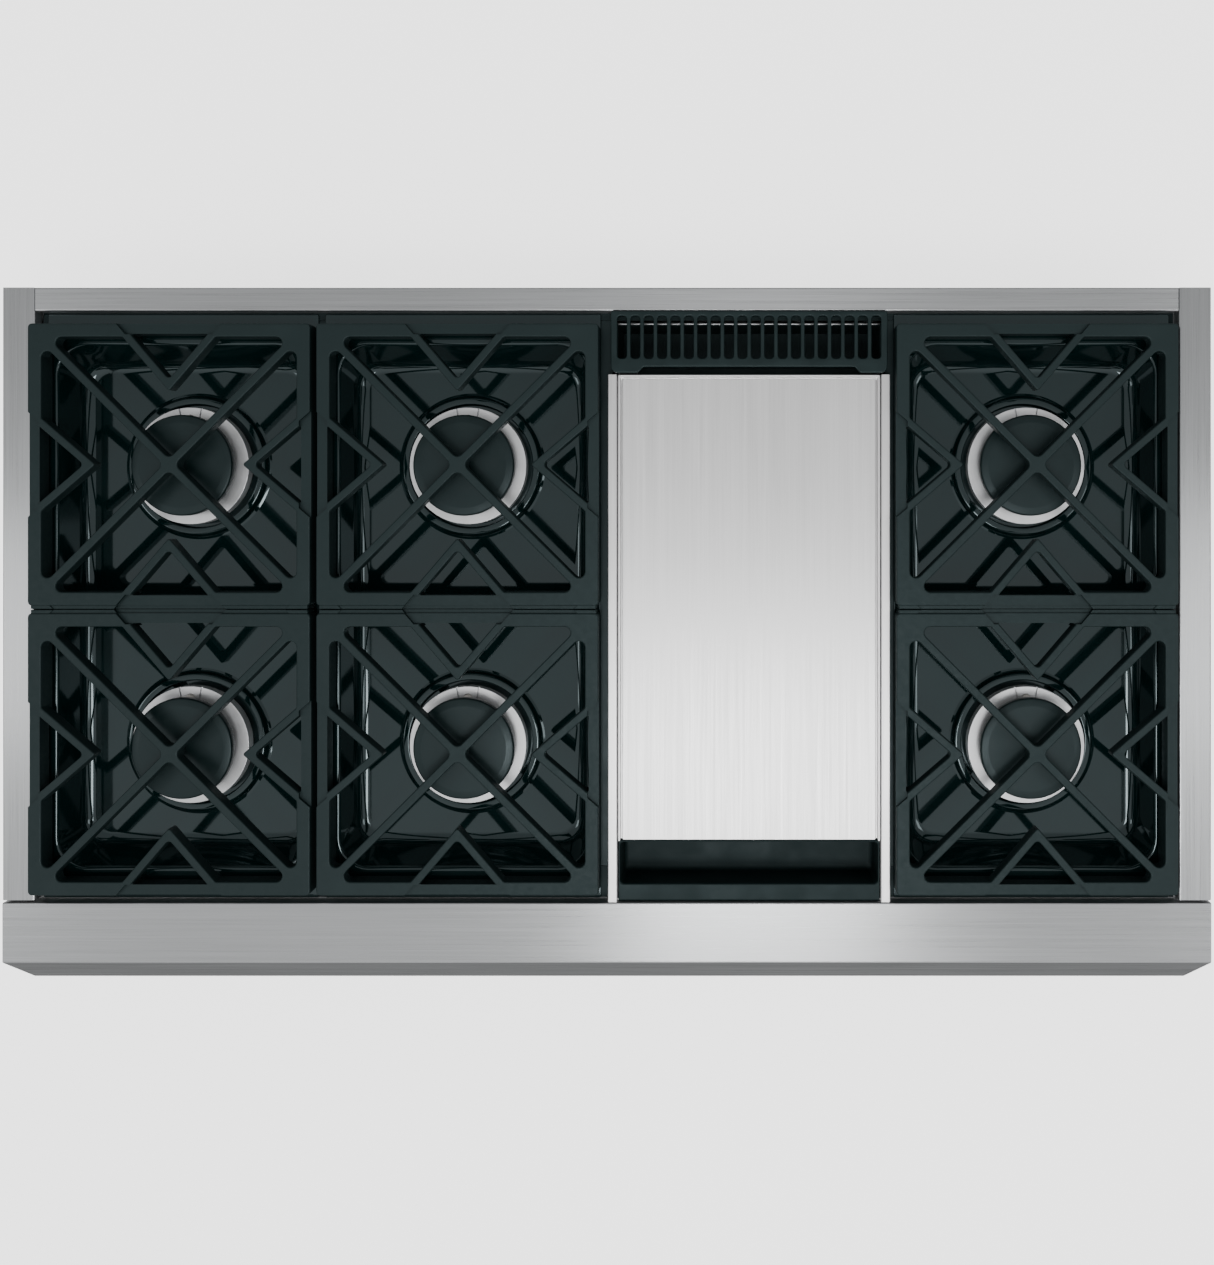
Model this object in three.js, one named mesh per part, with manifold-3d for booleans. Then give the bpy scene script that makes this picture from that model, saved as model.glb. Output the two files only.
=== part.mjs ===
// A 48 inch built-in gas rangetop: six sealed burners in three bays, and a griddle in a fourth.
// Millimetres, +Z up. The front faces -Y and +X is to the right of a person who stands in front.
// The origin is on the underside, under the middle of the overall box.
import * as THREE from "three";
import { mergeVertices } from "three/addons/utils/BufferGeometryUtils.js";
import Module from "manifold-3d";

const wasm = await Module();
wasm.setup();

// Driving dimensions.
const WIDTH = 1216;
const DEPTH = 702;
const HEIGHT = 216;
const SHEET = 2;
const GAP = 0.3;
const LEFT = -WIDTH / 2;
const FRONT = -DEPTH / 2;
const REAR = DEPTH / 2;

const TRIM_TOP = HEIGHT - 13;
const TRIM_SKIN = 1.7;
const SIDE_TRIM_WIDTH = 32.5;
const REAR_TRIM_DEPTH = 24;
const TRIM_SKIRT = 178;
const TRIM_FRONT = -265.5;

const BULLNOSE_REAR = -268;
const BEVEL = 23;
const NOSE_BOTTOM = 160;
const NOSE_RETURN = -303;
const NOSE_CORNER = 20;

const BOX_SIDE = WIDTH / 2 - 2;
const BOX_FRONT = -294;
const BOX_REAR = REAR - TRIM_SKIN - GAP;
const BOX_TOP = 187.5;
const BOX_LEDGE_FRONT = -262;
const BOX_LEDGE_REAR = 320;
const BOX_LEDGE_SIDE = 566;
const BOTTOM = 2;

const BAYS = { left: -434.5, centre: -147.5, right: 430 };
const ROWS = { rear: 172.5, front: -116 };
const GRIDDLE_X = 143;
const GRIDDLE_BAY = 295;
const DIVIDERS = {
  left: (BAYS.left + BAYS.centre) / 2,
  centre: GRIDDLE_X - GRIDDLE_BAY / 2,
  right: GRIDDLE_X + GRIDDLE_BAY / 2,
};

const PAN_TOP = 190;
const PAN_FLOOR = 148;
const PAN_WIDTH = 280;
const PAN_FRONT = -267;
const PAN_REAR = 326;
const WELL_Y = 29;
const WELL_HALF_X = 125;
const WELL_HALF_Y = 265;

const GRATE_HALF = 140.5;
const GRATE_BAR = 13.5;
const GRATE_FRAME_BOTTOM = 196;
const FINGER = 8.3;
const FINGER_HEIGHT = 14;
const V_TIP = 73;
const V_NOTCH = 85;
const V_ROOT = 58;
const RECESS = 4;
const RECESS_BAR = 10;
const LIP = (ROWS.rear - ROWS.front) / 2 - GAP;
const LIP_TOP = 213.8;
const LIP_PAD = 1.2;

const CAP_RADIUS = 51.5;
const CAP_TOP = PAN_TOP + 0.6;
const HEAD_TOP = 178;
const RING_TOP = 169;
const RING_RADIUS = 60.5;
const NECK_RADIUS = 43.5;
const IGNITER_OFFSET = 48.5;
const IGNITER_RADIUS = 4;

const PANEL_FACE = -300;
const KNOB_Z = 84;
const KNOB_SPREAD = 62;
const KNOB_BACK = PANEL_FACE - 5;
const KNOB_LENGTH = 38;
const VALVE_FACE = -283;
const MANIFOLD_Y = -252;

const TUB_WALL = 135.5;
const TUB_FLANGE = 142;
const TUB_FLOOR = 120;
const TUB_FRONT = -267.5;
const TUB_REAR = 263.5;
const FLUE_REAR = 317.5;
const FLUE_TOP = BOX_TOP - 1.5;
const PLATE_FRONT = -205;
const PLATE_BOTTOM = TRIM_TOP - 12;
const TRAY_BOTTOM = 152;

const GAS_X = GRIDDLE_X + 57;
const REGULATOR_Y = 298;
const REGULATOR_RADIUS = 32;
const CORD_X = -60;
const CORD_Z = 60;

// Each knob, and the burner that its valve feeds.
const knobs = [];
for (const [bay, x] of Object.entries(BAYS)) {
  knobs.push({ name: `front_${bay}`, x: x - KNOB_SPREAD, burnerX: x, burnerY: ROWS.front });
  knobs.push({ name: `rear_${bay}`, x: x + KNOB_SPREAD, burnerX: x, burnerY: ROWS.rear });
}
knobs.push({ name: "griddle", x: GRIDDLE_X, burnerX: GRIDDLE_X, burnerY: -150 });

const group = new THREE.Group();

const finishes = {
  stainless: { color: 0xb9bcbd, roughness: 0.35, metalness: 1 },
  griddleSteel: { color: 0xd9dadb, roughness: 0.4, metalness: 1 },
  castIron: { color: 0x2f3839, roughness: 0.7, metalness: 0 },
  enamel: { color: 0x0b1214, roughness: 0.08, metalness: 0 },
  matteBlack: { color: 0x15191a, roughness: 0.65, metalness: 0 },
  aluminium: { color: 0xc9cccb, roughness: 0.3, metalness: 1 },
  galvanised: { color: 0x9a9ea0, roughness: 0.5, metalness: 1 },
  brass: { color: 0xb08d4a, roughness: 0.4, metalness: 1 },
  ceramic: { color: 0xe6e1d6, roughness: 0.4, metalness: 0 },
  plastic: { color: 0x1b1b1c, roughness: 0.5, metalness: 0 },
};

// ---- shapes as solids -------------------------------------------------------------------

function solid(geometry) {
  geometry.deleteAttribute("normal");
  geometry.deleteAttribute("uv");
  const merged = mergeVertices(geometry, 1e-4);
  return new wasm.Manifold(
    new wasm.Mesh({
      numProp: 3,
      vertProperties: merged.getAttribute("position").array,
      triVerts: new Uint32Array(merged.index.array),
    }),
  );
}

function addPart(name, shape, finish, place = [0, 0, 0]) {
  const mesh = shape.getMesh();
  const geometry = new THREE.BufferGeometry();
  geometry.setAttribute("position", new THREE.BufferAttribute(mesh.vertProperties, 3));
  geometry.setIndex(new THREE.BufferAttribute(mesh.triVerts, 1));
  geometry.computeVertexNormals();
  const part = new THREE.Mesh(geometry, new THREE.MeshStandardMaterial(finishes[finish]));
  part.name = name;
  part.position.set(...place);
  group.add(part);
}

function union(shapes) {
  return shapes.reduce((whole, shape) => whole.add(shape));
}

function block(x0, x1, y0, y1, z0, z1) {
  const box = new THREE.BoxGeometry(x1 - x0, y1 - y0, z1 - z0);
  return solid(box.translate((x0 + x1) / 2, (y0 + y1) / 2, (z0 + z1) / 2));
}

function outline(points) {
  return new THREE.Shape(points.map(([a, b]) => new THREE.Vector2(a, b)));
}

// The points of an outline with arcs at its corners. A corner is [x, y] or [x, y, radius].
function rounded(corners) {
  const steps = 3;
  return corners.flatMap(([x, y, radius], i) => {
    if (!radius) return [[x, y]];
    const corner = new THREE.Vector2(x, y);
    const before = new THREE.Vector2(...corners.at(i - 1)).sub(corner).normalize();
    const after = new THREE.Vector2(...corners[(i + 1) % corners.length]).sub(corner).normalize();
    const half = Math.acos(before.dot(after)) / 2;
    const reach = radius / Math.tan(half);
    const centre = before.clone().add(after).setLength(radius / Math.sin(half));
    const start = before.multiplyScalar(reach).sub(centre);
    const end = after.multiplyScalar(reach).sub(centre);
    const sweep = Math.PI - 2 * half;
    return Array.from({ length: steps + 1 }, (_, k) => {
      const a = Math.sin((1 - k / steps) * sweep) / Math.sin(sweep);
      const b = Math.sin((k / steps) * sweep) / Math.sin(sweep);
      return [x + centre.x + start.x * a + end.x * b, y + centre.y + start.y * a + end.y * b];
    });
  });
}

function roundedRectangle(halfX, halfY, radius) {
  const shape = new THREE.Shape();
  shape.absarc(halfX - radius, halfY - radius, radius, 0, Math.PI / 2);
  shape.absarc(radius - halfX, halfY - radius, radius, Math.PI / 2, Math.PI);
  shape.absarc(radius - halfX, radius - halfY, radius, Math.PI, 1.5 * Math.PI);
  shape.absarc(halfX - radius, radius - halfY, radius, 1.5 * Math.PI, 2 * Math.PI);
  return shape;
}

function extrude(shape, depth) {
  return new THREE.ExtrudeGeometry(shape, { depth, bevelEnabled: false, curveSegments: 2 });
}

function extrudeUp(shape, z0, z1) {
  return solid(extrude(shape, z1 - z0).translate(0, 0, z0));
}

// A profile of [y, z] points, run along X.
function extrudeAcross(points, x0, x1) {
  const turn = new THREE.Matrix4().makeBasis(
    new THREE.Vector3(0, 1, 0),
    new THREE.Vector3(0, 0, 1),
    new THREE.Vector3(1, 0, 0),
  );
  return solid(extrude(outline(points), x1 - x0).applyMatrix4(turn).translate(x0, 0, 0));
}

// A shape drawn in x and z, run along Y from y0 to y1.
function extrudeBack(shape, y0, y1) {
  return solid(extrude(shape, y1 - y0).rotateX(Math.PI / 2).translate(0, y1, 0));
}

// A profile of [radius, z] points, turned about Z.
function turned(points, segments) {
  const profile = points.map(([radius, z]) => new THREE.Vector2(radius, z));
  return new THREE.LatheGeometry(profile, segments).rotateX(Math.PI / 2);
}

function rod(from, to, radius, sides) {
  const start = new THREE.Vector3(...from);
  const along = new THREE.Vector3(...to).sub(start);
  const length = along.length();
  const cylinder = new THREE.CylinderGeometry(radius, radius, length, sides);
  const turn = new THREE.Quaternion().setFromUnitVectors(
    new THREE.Vector3(0, 1, 0),
    along.clone().normalize(),
  );
  cylinder.applyQuaternion(turn);
  const middle = start.addScaledVector(along, 0.5);
  return solid(cylinder.translate(middle.x, middle.y, middle.z));
}

// Straight runs of tube with a ball at each bend.
function pipe(points, radius, sides) {
  const runs = points.slice(1).map((point, i) => rod(points[i], point, radius, sides));
  const bends = points
    .slice(1, -1)
    .map((point) => solid(new THREE.SphereGeometry(radius, sides, 3).translate(...point)));
  return union([...runs, ...bends]);
}

// A closed skin through rounded rectangles, the lowest first.
function lofted(sections) {
  const steps = 3;
  const rings = sections.map(({ x, y, radius, z }) => {
    const ring = [];
    for (let corner = 0; corner < 4; corner++) {
      const sideX = corner === 0 || corner === 3 ? 1 : -1;
      const sideY = corner < 2 ? 1 : -1;
      for (let k = 0; k <= steps; k++) {
        const angle = ((corner + k / steps) * Math.PI) / 2;
        const px = sideX * (x - radius) + radius * Math.cos(angle);
        const py = sideY * (y - radius) + radius * Math.sin(angle);
        ring.push([px, py, z]);
      }
    }
    return ring;
  });
  const count = rings[0].length;
  const index = [];
  for (let s = 0; s < rings.length - 1; s++) {
    for (let k = 0; k < count; k++) {
      const a = s * count + k;
      const b = s * count + ((k + 1) % count);
      index.push(a, b, b + count, a, b + count, a + count);
    }
  }
  const top = (rings.length - 1) * count;
  for (let k = 1; k < count - 1; k++) {
    index.push(0, k + 1, k, top, top + k, top + k + 1);
  }
  const geometry = new THREE.BufferGeometry();
  geometry.setAttribute("position", new THREE.Float32BufferAttribute(rings.flat(2), 3));
  geometry.setIndex(index);
  return solid(geometry);
}

// ---- carcass ----------------------------------------------------------------------------

function burnerBox() {
  const shell = block(-BOX_SIDE, BOX_SIDE, BOX_FRONT, BOX_REAR, BOTTOM + GAP, BOX_TOP);
  const inside = block(
    SHEET - BOX_SIDE,
    BOX_SIDE - SHEET,
    BOX_FRONT + SHEET,
    BOX_REAR - SHEET,
    0,
    BOX_TOP - SHEET,
  );
  const mouth = block(
    -BOX_LEDGE_SIDE,
    BOX_LEDGE_SIDE,
    BOX_LEDGE_FRONT,
    BOX_LEDGE_REAR,
    BOX_TOP - SHEET - 1,
    BOX_TOP + 1,
  );
  const valveWindow = block(-560, 560, BOX_FRONT - 1, BOX_FRONT + SHEET + 1, 30, 150);
  const griddleNotch = block(
    GRIDDLE_X - TUB_FLANGE - 1,
    GRIDDLE_X + TUB_FLANGE + 1,
    TUB_FRONT - 0.7,
    BOX_LEDGE_FRONT + 1,
    BOX_TOP - SHEET - 1,
    BOX_TOP + 1,
  );
  const gasHole = rod([GAS_X, BOX_REAR - 5, KNOB_Z], [GAS_X, BOX_REAR + 5, KNOB_Z], 13, 12);
  const cordHole = rod([CORD_X, BOX_REAR - 5, CORD_Z], [CORD_X, BOX_REAR + 5, CORD_Z], 9.5, 12);
  const cuts = [inside, mouth, valveWindow, griddleNotch, gasHole, cordHole];
  return cuts.reduce((box, cut) => box.subtract(cut), shell);
}

// A T section under the joint between two bays: it carries the rims of both.
function bayDivider(x) {
  const webHalf = SHEET / 2;
  const ledgeHalf = 9;
  const ledgeTop = BOX_TOP + 0.2;
  const low = BOTTOM + GAP;
  const profile = outline([
    [x - webHalf, low],
    [x + webHalf, low],
    [x + webHalf, ledgeTop - SHEET],
    [x + ledgeHalf, ledgeTop - SHEET],
    [x + ledgeHalf, ledgeTop],
    [x - ledgeHalf, ledgeTop],
    [x - ledgeHalf, ledgeTop - SHEET],
    [x - webHalf, ledgeTop - SHEET],
  ]);
  return extrudeBack(profile, -235, BOX_LEDGE_REAR - 0.5);
}

// A channel over the side wall, closed at its rear end. side is -1 for the left, 1 for the right.
function sideTrim(side) {
  const outer = WIDTH / 2;
  const inner = outer - SIDE_TRIM_WIDTH;
  const foot = BOX_TOP + 1;
  const points = [
    [outer, TRIM_SKIRT],
    [outer, TRIM_TOP],
    [inner, TRIM_TOP],
    [inner, foot],
    [inner + SHEET, foot],
    [inner + SHEET, TRIM_TOP - SHEET],
    [outer - TRIM_SKIN, TRIM_TOP - SHEET],
    [outer - TRIM_SKIN, TRIM_SKIRT],
  ].map(([x, z]) => [side * x, z]);
  if (side < 0) points.reverse();
  const channel = extrudeBack(outline(points), TRIM_FRONT, REAR);
  const ends = [side * inner, side * outer].sort((a, b) => a - b);
  const cap = block(...ends, REAR - TRIM_SKIN, REAR, TRIM_SKIRT, TRIM_TOP);
  return channel.add(cap);
}

function rearTrim() {
  const half = WIDTH / 2 - SIDE_TRIM_WIDTH - 0.5;
  const front = REAR - REAR_TRIM_DEPTH;
  const foot = BOX_TOP + 1;
  const profile = [
    [front, foot],
    [front + SHEET, foot],
    [front + SHEET, TRIM_TOP - SHEET],
    [REAR - TRIM_SKIN, TRIM_TOP - SHEET],
    [REAR - TRIM_SKIN, TRIM_SKIRT],
    [REAR, TRIM_SKIRT],
    [REAR, TRIM_TOP],
    [front, TRIM_TOP],
  ];
  return extrudeAcross(profile, -half, half);
}

// The front rail: a flat top, a 45 degree bevel and an upright lip, hollow and open towards the
// control panel. Both front corners are cut off at an angle.
function bullnose() {
  const fold = FRONT + BEVEL;
  const foot = BOX_TOP + 1;
  const cornerCut = (side, inset) => {
    const run = BEVEL / NOSE_CORNER;
    const x = WIDTH / 2 - inset;
    const points = [
      [side * (x - 2 * NOSE_CORNER), fold - 2 * NOSE_CORNER * run],
      [side * (x + NOSE_CORNER), fold - 2 * NOSE_CORNER * run],
      [side * (x + NOSE_CORNER), fold + NOSE_CORNER * run],
    ];
    if (side < 0) points.reverse();
    return extrudeUp(outline(points), 0, HEIGHT);
  };
  const skin = extrudeAcross(
    [
      [BULLNOSE_REAR, foot],
      [BULLNOSE_REAR, TRIM_TOP],
      [fold, TRIM_TOP],
      [FRONT, TRIM_TOP - BEVEL],
      [FRONT, NOSE_BOTTOM],
      [NOSE_RETURN, NOSE_BOTTOM],
      [NOSE_RETURN, foot],
    ].reverse(),
    LEFT,
    -LEFT,
  );
  const bend = SHEET * Math.tan(Math.PI / 8);
  const hollow = extrudeAcross(
    [
      [BULLNOSE_REAR - SHEET, foot - 2],
      [BULLNOSE_REAR - SHEET, TRIM_TOP - SHEET],
      [fold + bend, TRIM_TOP - SHEET],
      [FRONT + SHEET, TRIM_TOP - BEVEL - bend],
      [FRONT + SHEET, NOSE_BOTTOM + SHEET],
      [NOSE_RETURN + SHEET, NOSE_BOTTOM + SHEET],
      [NOSE_RETURN + SHEET, foot - 2],
    ].reverse(),
    LEFT + TRIM_SKIN,
    -LEFT - TRIM_SKIN,
  );
  const skinInset = SHEET / Math.cos(Math.atan2(NOSE_CORNER, BEVEL));
  const room = hollow.subtract(cornerCut(-1, skinInset)).subtract(cornerCut(1, skinInset));
  const slot = block(
    LEFT + TRIM_SKIN,
    -LEFT - TRIM_SKIN,
    NOSE_RETURN - 1,
    BULLNOSE_REAR - SHEET,
    NOSE_BOTTOM + SHEET,
    foot + 0.5,
  );
  let rail = skin
    .subtract(cornerCut(-1, 0))
    .subtract(cornerCut(1, 0))
    .subtract(room)
    .subtract(slot);
  // Each end is closed down to the lower edge by a plate just outside the side of the box.
  for (const side of [-1, 1]) {
    const ends = [side * (BOX_SIDE + GAP), (side * WIDTH) / 2].sort((a, b) => a - b);
    rail = rail.add(block(...ends, NOSE_RETURN - 1, BULLNOSE_REAR, NOSE_BOTTOM, foot + 1));
  }
  return rail;
}

// A shallow lid over the front of the box, with a hole for each valve stem.
function controlPanel() {
  const low = 4;
  const high = NOSE_BOTTOM - GAP;
  const face = outline([
    [-BOX_SIDE, low],
    [BOX_SIDE, low],
    [BOX_SIDE, high],
    [-BOX_SIDE, high],
  ]);
  for (const knob of knobs) {
    const hole = new THREE.Path();
    hole.absarc(knob.x, KNOB_Z, 6, 0, 2 * Math.PI);
    face.holes.push(hole);
  }
  const edge = BOX_FRONT - GAP;
  return union([
    extrudeBack(face, PANEL_FACE, PANEL_FACE + SHEET),
    block(-BOX_SIDE, BOX_SIDE, PANEL_FACE, edge, low, low + SHEET),
    block(-BOX_SIDE, BOX_SIDE, PANEL_FACE, edge, high - SHEET, high),
    block(-BOX_SIDE, SHEET - BOX_SIDE, PANEL_FACE, edge, low, high),
    block(BOX_SIDE - SHEET, BOX_SIDE, PANEL_FACE, edge, low, high),
  ]);
}

// ---- burner bays ------------------------------------------------------------------------

// The cavity of a pan, or its outside when it is grown by the thickness of the sheet.
function well(grow, top) {
  const sections = [
    { inset: 20, drop: 0, radius: 16 },
    { inset: 12, drop: 2.5, radius: 22 },
    { inset: 7, drop: 9, radius: 26 },
    { inset: 1, drop: 38, radius: 32 },
    { inset: -3, drop: 42, radius: 36 },
  ].map(({ inset, drop, radius }) => ({
    x: WELL_HALF_X - inset * 0.9 + grow,
    y: WELL_HALF_Y - inset * 1.3 + grow,
    radius: radius + grow,
    z: PAN_FLOOR + drop - grow,
  }));
  const mouth = { ...sections.at(-1), z: top };
  return lofted([...sections, mouth]).translate([0, WELL_Y, 0]);
}

function burnerPan() {
  const half = PAN_WIDTH / 2;
  const rim = block(-half, half, PAN_FRONT, PAN_REAR, PAN_TOP - SHEET, PAN_TOP);
  const tub = well(SHEET, PAN_TOP - SHEET / 2);
  let pan = rim.add(tub).subtract(well(0, PAN_TOP + 1));
  for (const y of Object.values(ROWS)) {
    const collar = [
      [63.5, PAN_FLOOR - 1],
      [75, PAN_FLOOR - 1],
      [71, PAN_FLOOR + 7.5],
      [64.5, PAN_FLOOR + 7.5],
      [63.5, PAN_FLOOR - 1],
    ];
    pan = pan.add(solid(turned(collar, 16).translate(0, y, 0)));
    pan = pan.subtract(rod([0, y, PAN_FLOOR - 9], [0, y, PAN_FLOOR + 9], 30, 16));
  }
  return pan;
}

// One cast piece: a square frame, a crossing from corner to corner, and four V fingers. Its frame
// dips in the middle of each side, and a low lip on its +Y side closes the gap to its neighbour.
function grate() {
  const window = GRATE_HALF - GRATE_BAR;
  const recessInner = GRATE_HALF - RECESS_BAR;
  const armSide = (FINGER / 2) * Math.SQRT2;
  const slope = V_ROOT / (GRATE_HALF - V_TIP);
  const outerArm = (y) => (y - V_TIP) * slope;
  const innerArm = (y) => (y - V_NOTCH) * slope;
  const middleArm = (y) => (y - (V_TIP + V_NOTCH) / 2) * slope;
  const below = GRATE_FRAME_BOTTOM - 1;
  const above = HEIGHT + 1;

  const roundV = rounded([
    [0, armSide, 6],
    [window - armSide, window, 6],
    [outerArm(window), window, 3],
    [0, V_TIP],
    [-outerArm(window), window, 3],
    [armSide - window, window, 6],
  ]);
  const insideV = rounded([
    [0, V_NOTCH, 4],
    [innerArm(recessInner), recessInner],
    [-innerArm(recessInner), recessInner],
  ]);
  const dip = [
    [-middleArm(recessInner - 1), recessInner - 1],
    [middleArm(recessInner - 1), recessInner - 1],
    [middleArm(LIP + 1), LIP + 1],
    [-middleArm(LIP + 1), LIP + 1],
  ];
  const cut = (points, low, turn) => extrudeUp(outline(points), low, above).rotate([0, 0, turn]);

  const frame = roundedRectangle(GRATE_HALF, GRATE_HALF, 4);
  let iron = extrudeUp(frame, GRATE_FRAME_BOTTOM, HEIGHT);
  iron = iron.subtract(block(-window, window, -window, window, below, HEIGHT - FINGER_HEIGHT));
  for (const turn of [0, 90, 180, 270]) {
    iron = iron.subtract(cut(roundV, below, turn));
    iron = iron.subtract(cut(insideV, below, turn));
    iron = iron.subtract(cut(dip, HEIGHT - RECESS, turn));
  }

  const lipEnd = GRATE_HALF - 2.5;
  const lipStart = GRATE_HALF - 1;
  let lip = block(-lipEnd, lipEnd, lipStart, LIP, GRATE_FRAME_BOTTOM, LIP_TOP);
  lip = lip.subtract(cut(dip, LIP_TOP - RECESS, 0));
  for (const side of [-1, 1]) {
    const pad = [
      [side * (lipEnd - 22), LIP],
      [side * (lipEnd - 17), lipStart],
      [side * lipEnd, lipStart],
      [side * lipEnd, LIP],
    ];
    if (side < 0) pad.reverse();
    lip = lip.add(extrudeUp(outline(pad), GRATE_FRAME_BOTTOM, LIP_TOP + LIP_PAD));
  }
  iron = iron.add(lip);

  const foot = window + GRATE_BAR / 2;
  for (const [sx, sy] of [[1, 1], [-1, 1], [-1, -1], [1, -1]]) {
    const x = sx * foot;
    const y = sy * foot;
    const pad = block(x - 5.5, x + 5.5, y - 5.5, y + 5.5, PAN_TOP + GAP, GRATE_FRAME_BOTTOM + 1);
    iron = iron.add(pad);
  }
  return iron;
}

// The gas head: a throat through the pan, a bright ring, and the neck that the ports are in.
function burnerHead() {
  const seat = PAN_FLOOR + GAP;
  const body = solid(
    turned(
      [
        [0, HEAD_TOP - 6],
        [20, HEAD_TOP - 6],
        [20, PAN_FLOOR - 30],
        [26, PAN_FLOOR - 30],
        [26, seat],
        [RING_RADIUS - 4, seat],
        [RING_RADIUS, PAN_FLOOR + 10],
        [RING_RADIUS, RING_TOP],
        [NECK_RADIUS, RING_TOP],
        [NECK_RADIUS, HEAD_TOP],
        [0, HEAD_TOP],
      ],
      16,
    ),
  );
  const hole = rod([0, IGNITER_OFFSET, 0], [0, IGNITER_OFFSET, HEIGHT], IGNITER_RADIUS + 0.5, 12);
  return body.subtract(hole);
}

function burnerCap() {
  const seat = HEAD_TOP + GAP;
  const profile = [
    [0, seat],
    [CAP_RADIUS - 3, seat],
    [CAP_RADIUS, seat + 2.5],
    [CAP_RADIUS, CAP_TOP - 3],
    [CAP_RADIUS - 2.5, CAP_TOP - 1],
    [CAP_RADIUS - 10, CAP_TOP - 0.4],
    [0, CAP_TOP],
  ];
  return solid(turned(profile, 20));
}

function igniter() {
  const seat = PAN_FLOOR + GAP;
  const profile = [
    [0, seat],
    [IGNITER_RADIUS, seat],
    [IGNITER_RADIUS, RING_TOP + 3],
    [1.5, RING_TOP + 4],
    [1.5, RING_TOP + 7],
    [0, RING_TOP + 7],
  ];
  return solid(turned(profile, 8));
}

// ---- griddle bay ------------------------------------------------------------------------

// A long tub with a hemmed flange down each side and a flue behind, drawn about x = 0.
function griddleFrame() {
  const low = TUB_FLOOR;
  const hem = BOX_TOP + 0.5;
  const wallIn = TUB_WALL - SHEET;
  const half = [
    [TUB_WALL, TRIM_TOP - SHEET],
    [TUB_FLANGE - SHEET, TRIM_TOP - SHEET],
    [TUB_FLANGE - SHEET, hem],
    [TUB_FLANGE, hem],
    [TUB_FLANGE, TRIM_TOP],
    [wallIn, TRIM_TOP],
    [wallIn, low + SHEET],
  ];
  const mirrored = half.map(([x, z]) => [-x, z]).reverse();
  const profile = outline([[TUB_WALL, low], ...half, ...mirrored, [-TUB_WALL, low]]);
  let tub = extrudeBack(profile, TUB_FRONT, TUB_REAR);
  const frontWallTop = TRIM_TOP - 7.5;
  const frontWall = block(-TUB_WALL, TUB_WALL, TUB_FRONT, TUB_FRONT + SHEET, low, frontWallTop);
  const rearWall = block(-TUB_WALL, TUB_WALL, TUB_REAR - SHEET, TUB_REAR, low, PLATE_BOTTOM - 3);
  const flue = block(-TUB_WALL, TUB_WALL, TUB_REAR - SHEET, FLUE_REAR, low, FLUE_TOP);
  const flueInside = block(-wallIn, wallIn, TUB_REAR, FLUE_REAR - SHEET, low + SHEET, HEIGHT);
  const gasWindow = block(-110, 110, TUB_REAR - SHEET - 1, TUB_REAR + 1, 140, 178);
  tub = tub.add(frontWall).add(rearWall).add(flue.subtract(flueInside)).subtract(gasWindow);
  for (const side of [-1, 1]) {
    const ledge = (y0, y1, top) => {
      const ends = [side * wallIn, side * (wallIn - 10)].sort((a, b) => a - b);
      return block(ends[0] - 0.5, ends[1] + 0.5, y0, y1, top - SHEET, top);
    };
    tub = tub.add(ledge(PLATE_FRONT, TUB_REAR - SHEET, PLATE_BOTTOM - GAP));
    tub = tub.add(ledge(TUB_FRONT + SHEET, PLATE_FRONT - 2, TRAY_BOTTOM - GAP));
  }
  const airWindow = block(-100, 100, -200, 240, low - 1, low + SHEET + 1);
  return tub.subtract(airWindow);
}

// A thick plate with a slim upturned rim at the left, right and rear.
function griddlePlate() {
  const half = 132;
  const rear = TUB_REAR;
  const rim = 3;
  const low = PLATE_BOTTOM;
  const cook = TRIM_TOP - 1;
  const plate = block(-half, half, PLATE_FRONT, rear, low, cook);
  return union([
    plate,
    block(-half, rim - half, PLATE_FRONT, rear, low, cook + 5),
    block(half - rim, half, PLATE_FRONT, rear, low, cook + 5),
    block(-half, half, rear - rim, rear, low, cook + 5),
  ]);
}

// A slotted hood over the flue, open underneath, with a lug at each end of its front edge.
function griddleVentCover() {
  const half = 138.5;
  const front = TUB_REAR + 0.8;
  const rear = REAR - REAR_TRIM_DEPTH - 0.5;
  const recess = 6;
  const lug = 27;
  const low = BOX_TOP + 0.5;
  const high = HEIGHT - 7;
  const slots = 20;
  const slotPitch = 13.4;
  const slotWidth = 9.3;
  const slotRear = rear - 5;
  const slotFront = front + 14.5;
  const plan = outline([
    [-half, front],
    [lug - half, front],
    [lug - half + recess, front + recess],
    [half - lug - recess, front + recess],
    [half - lug, front],
    [half, front],
    [half, rear],
    [-half, rear],
  ]);
  let hood = extrudeUp(plan, low, high);
  hood = hood.subtract(
    block(SHEET - half, half - SHEET, front + recess + SHEET, rear - SHEET, low - 1, high - 3),
  );
  for (let i = 0; i < slots; i++) {
    const x = (i - (slots - 1) / 2) * slotPitch;
    const radius = slotWidth / 2;
    const slot = new THREE.Shape();
    slot.absarc(x, slotRear - radius, radius, 0, Math.PI);
    slot.absarc(x, slotFront + radius, radius, Math.PI, 2 * Math.PI);
    hood = hood.subtract(extrudeUp(slot, high - 4, high + 1));
  }
  return hood;
}

// A trough that lifts out, with a wide land at its front edge.
function greaseTray() {
  const half = 132;
  const front = TUB_FRONT;
  const rear = PLATE_FRONT - 1;
  const landTop = TRIM_TOP - 4;
  const landBottom = landTop - 3;
  const body = block(-half, half, -252, rear, TRAY_BOTTOM, landTop);
  const land = block(-half, half, front, rear, landBottom, landTop);
  const trough = block(2 - half, half - 2, -250, rear - SHEET, TRAY_BOTTOM + SHEET, landTop + 1);
  return body.add(land).subtract(trough);
}

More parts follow.
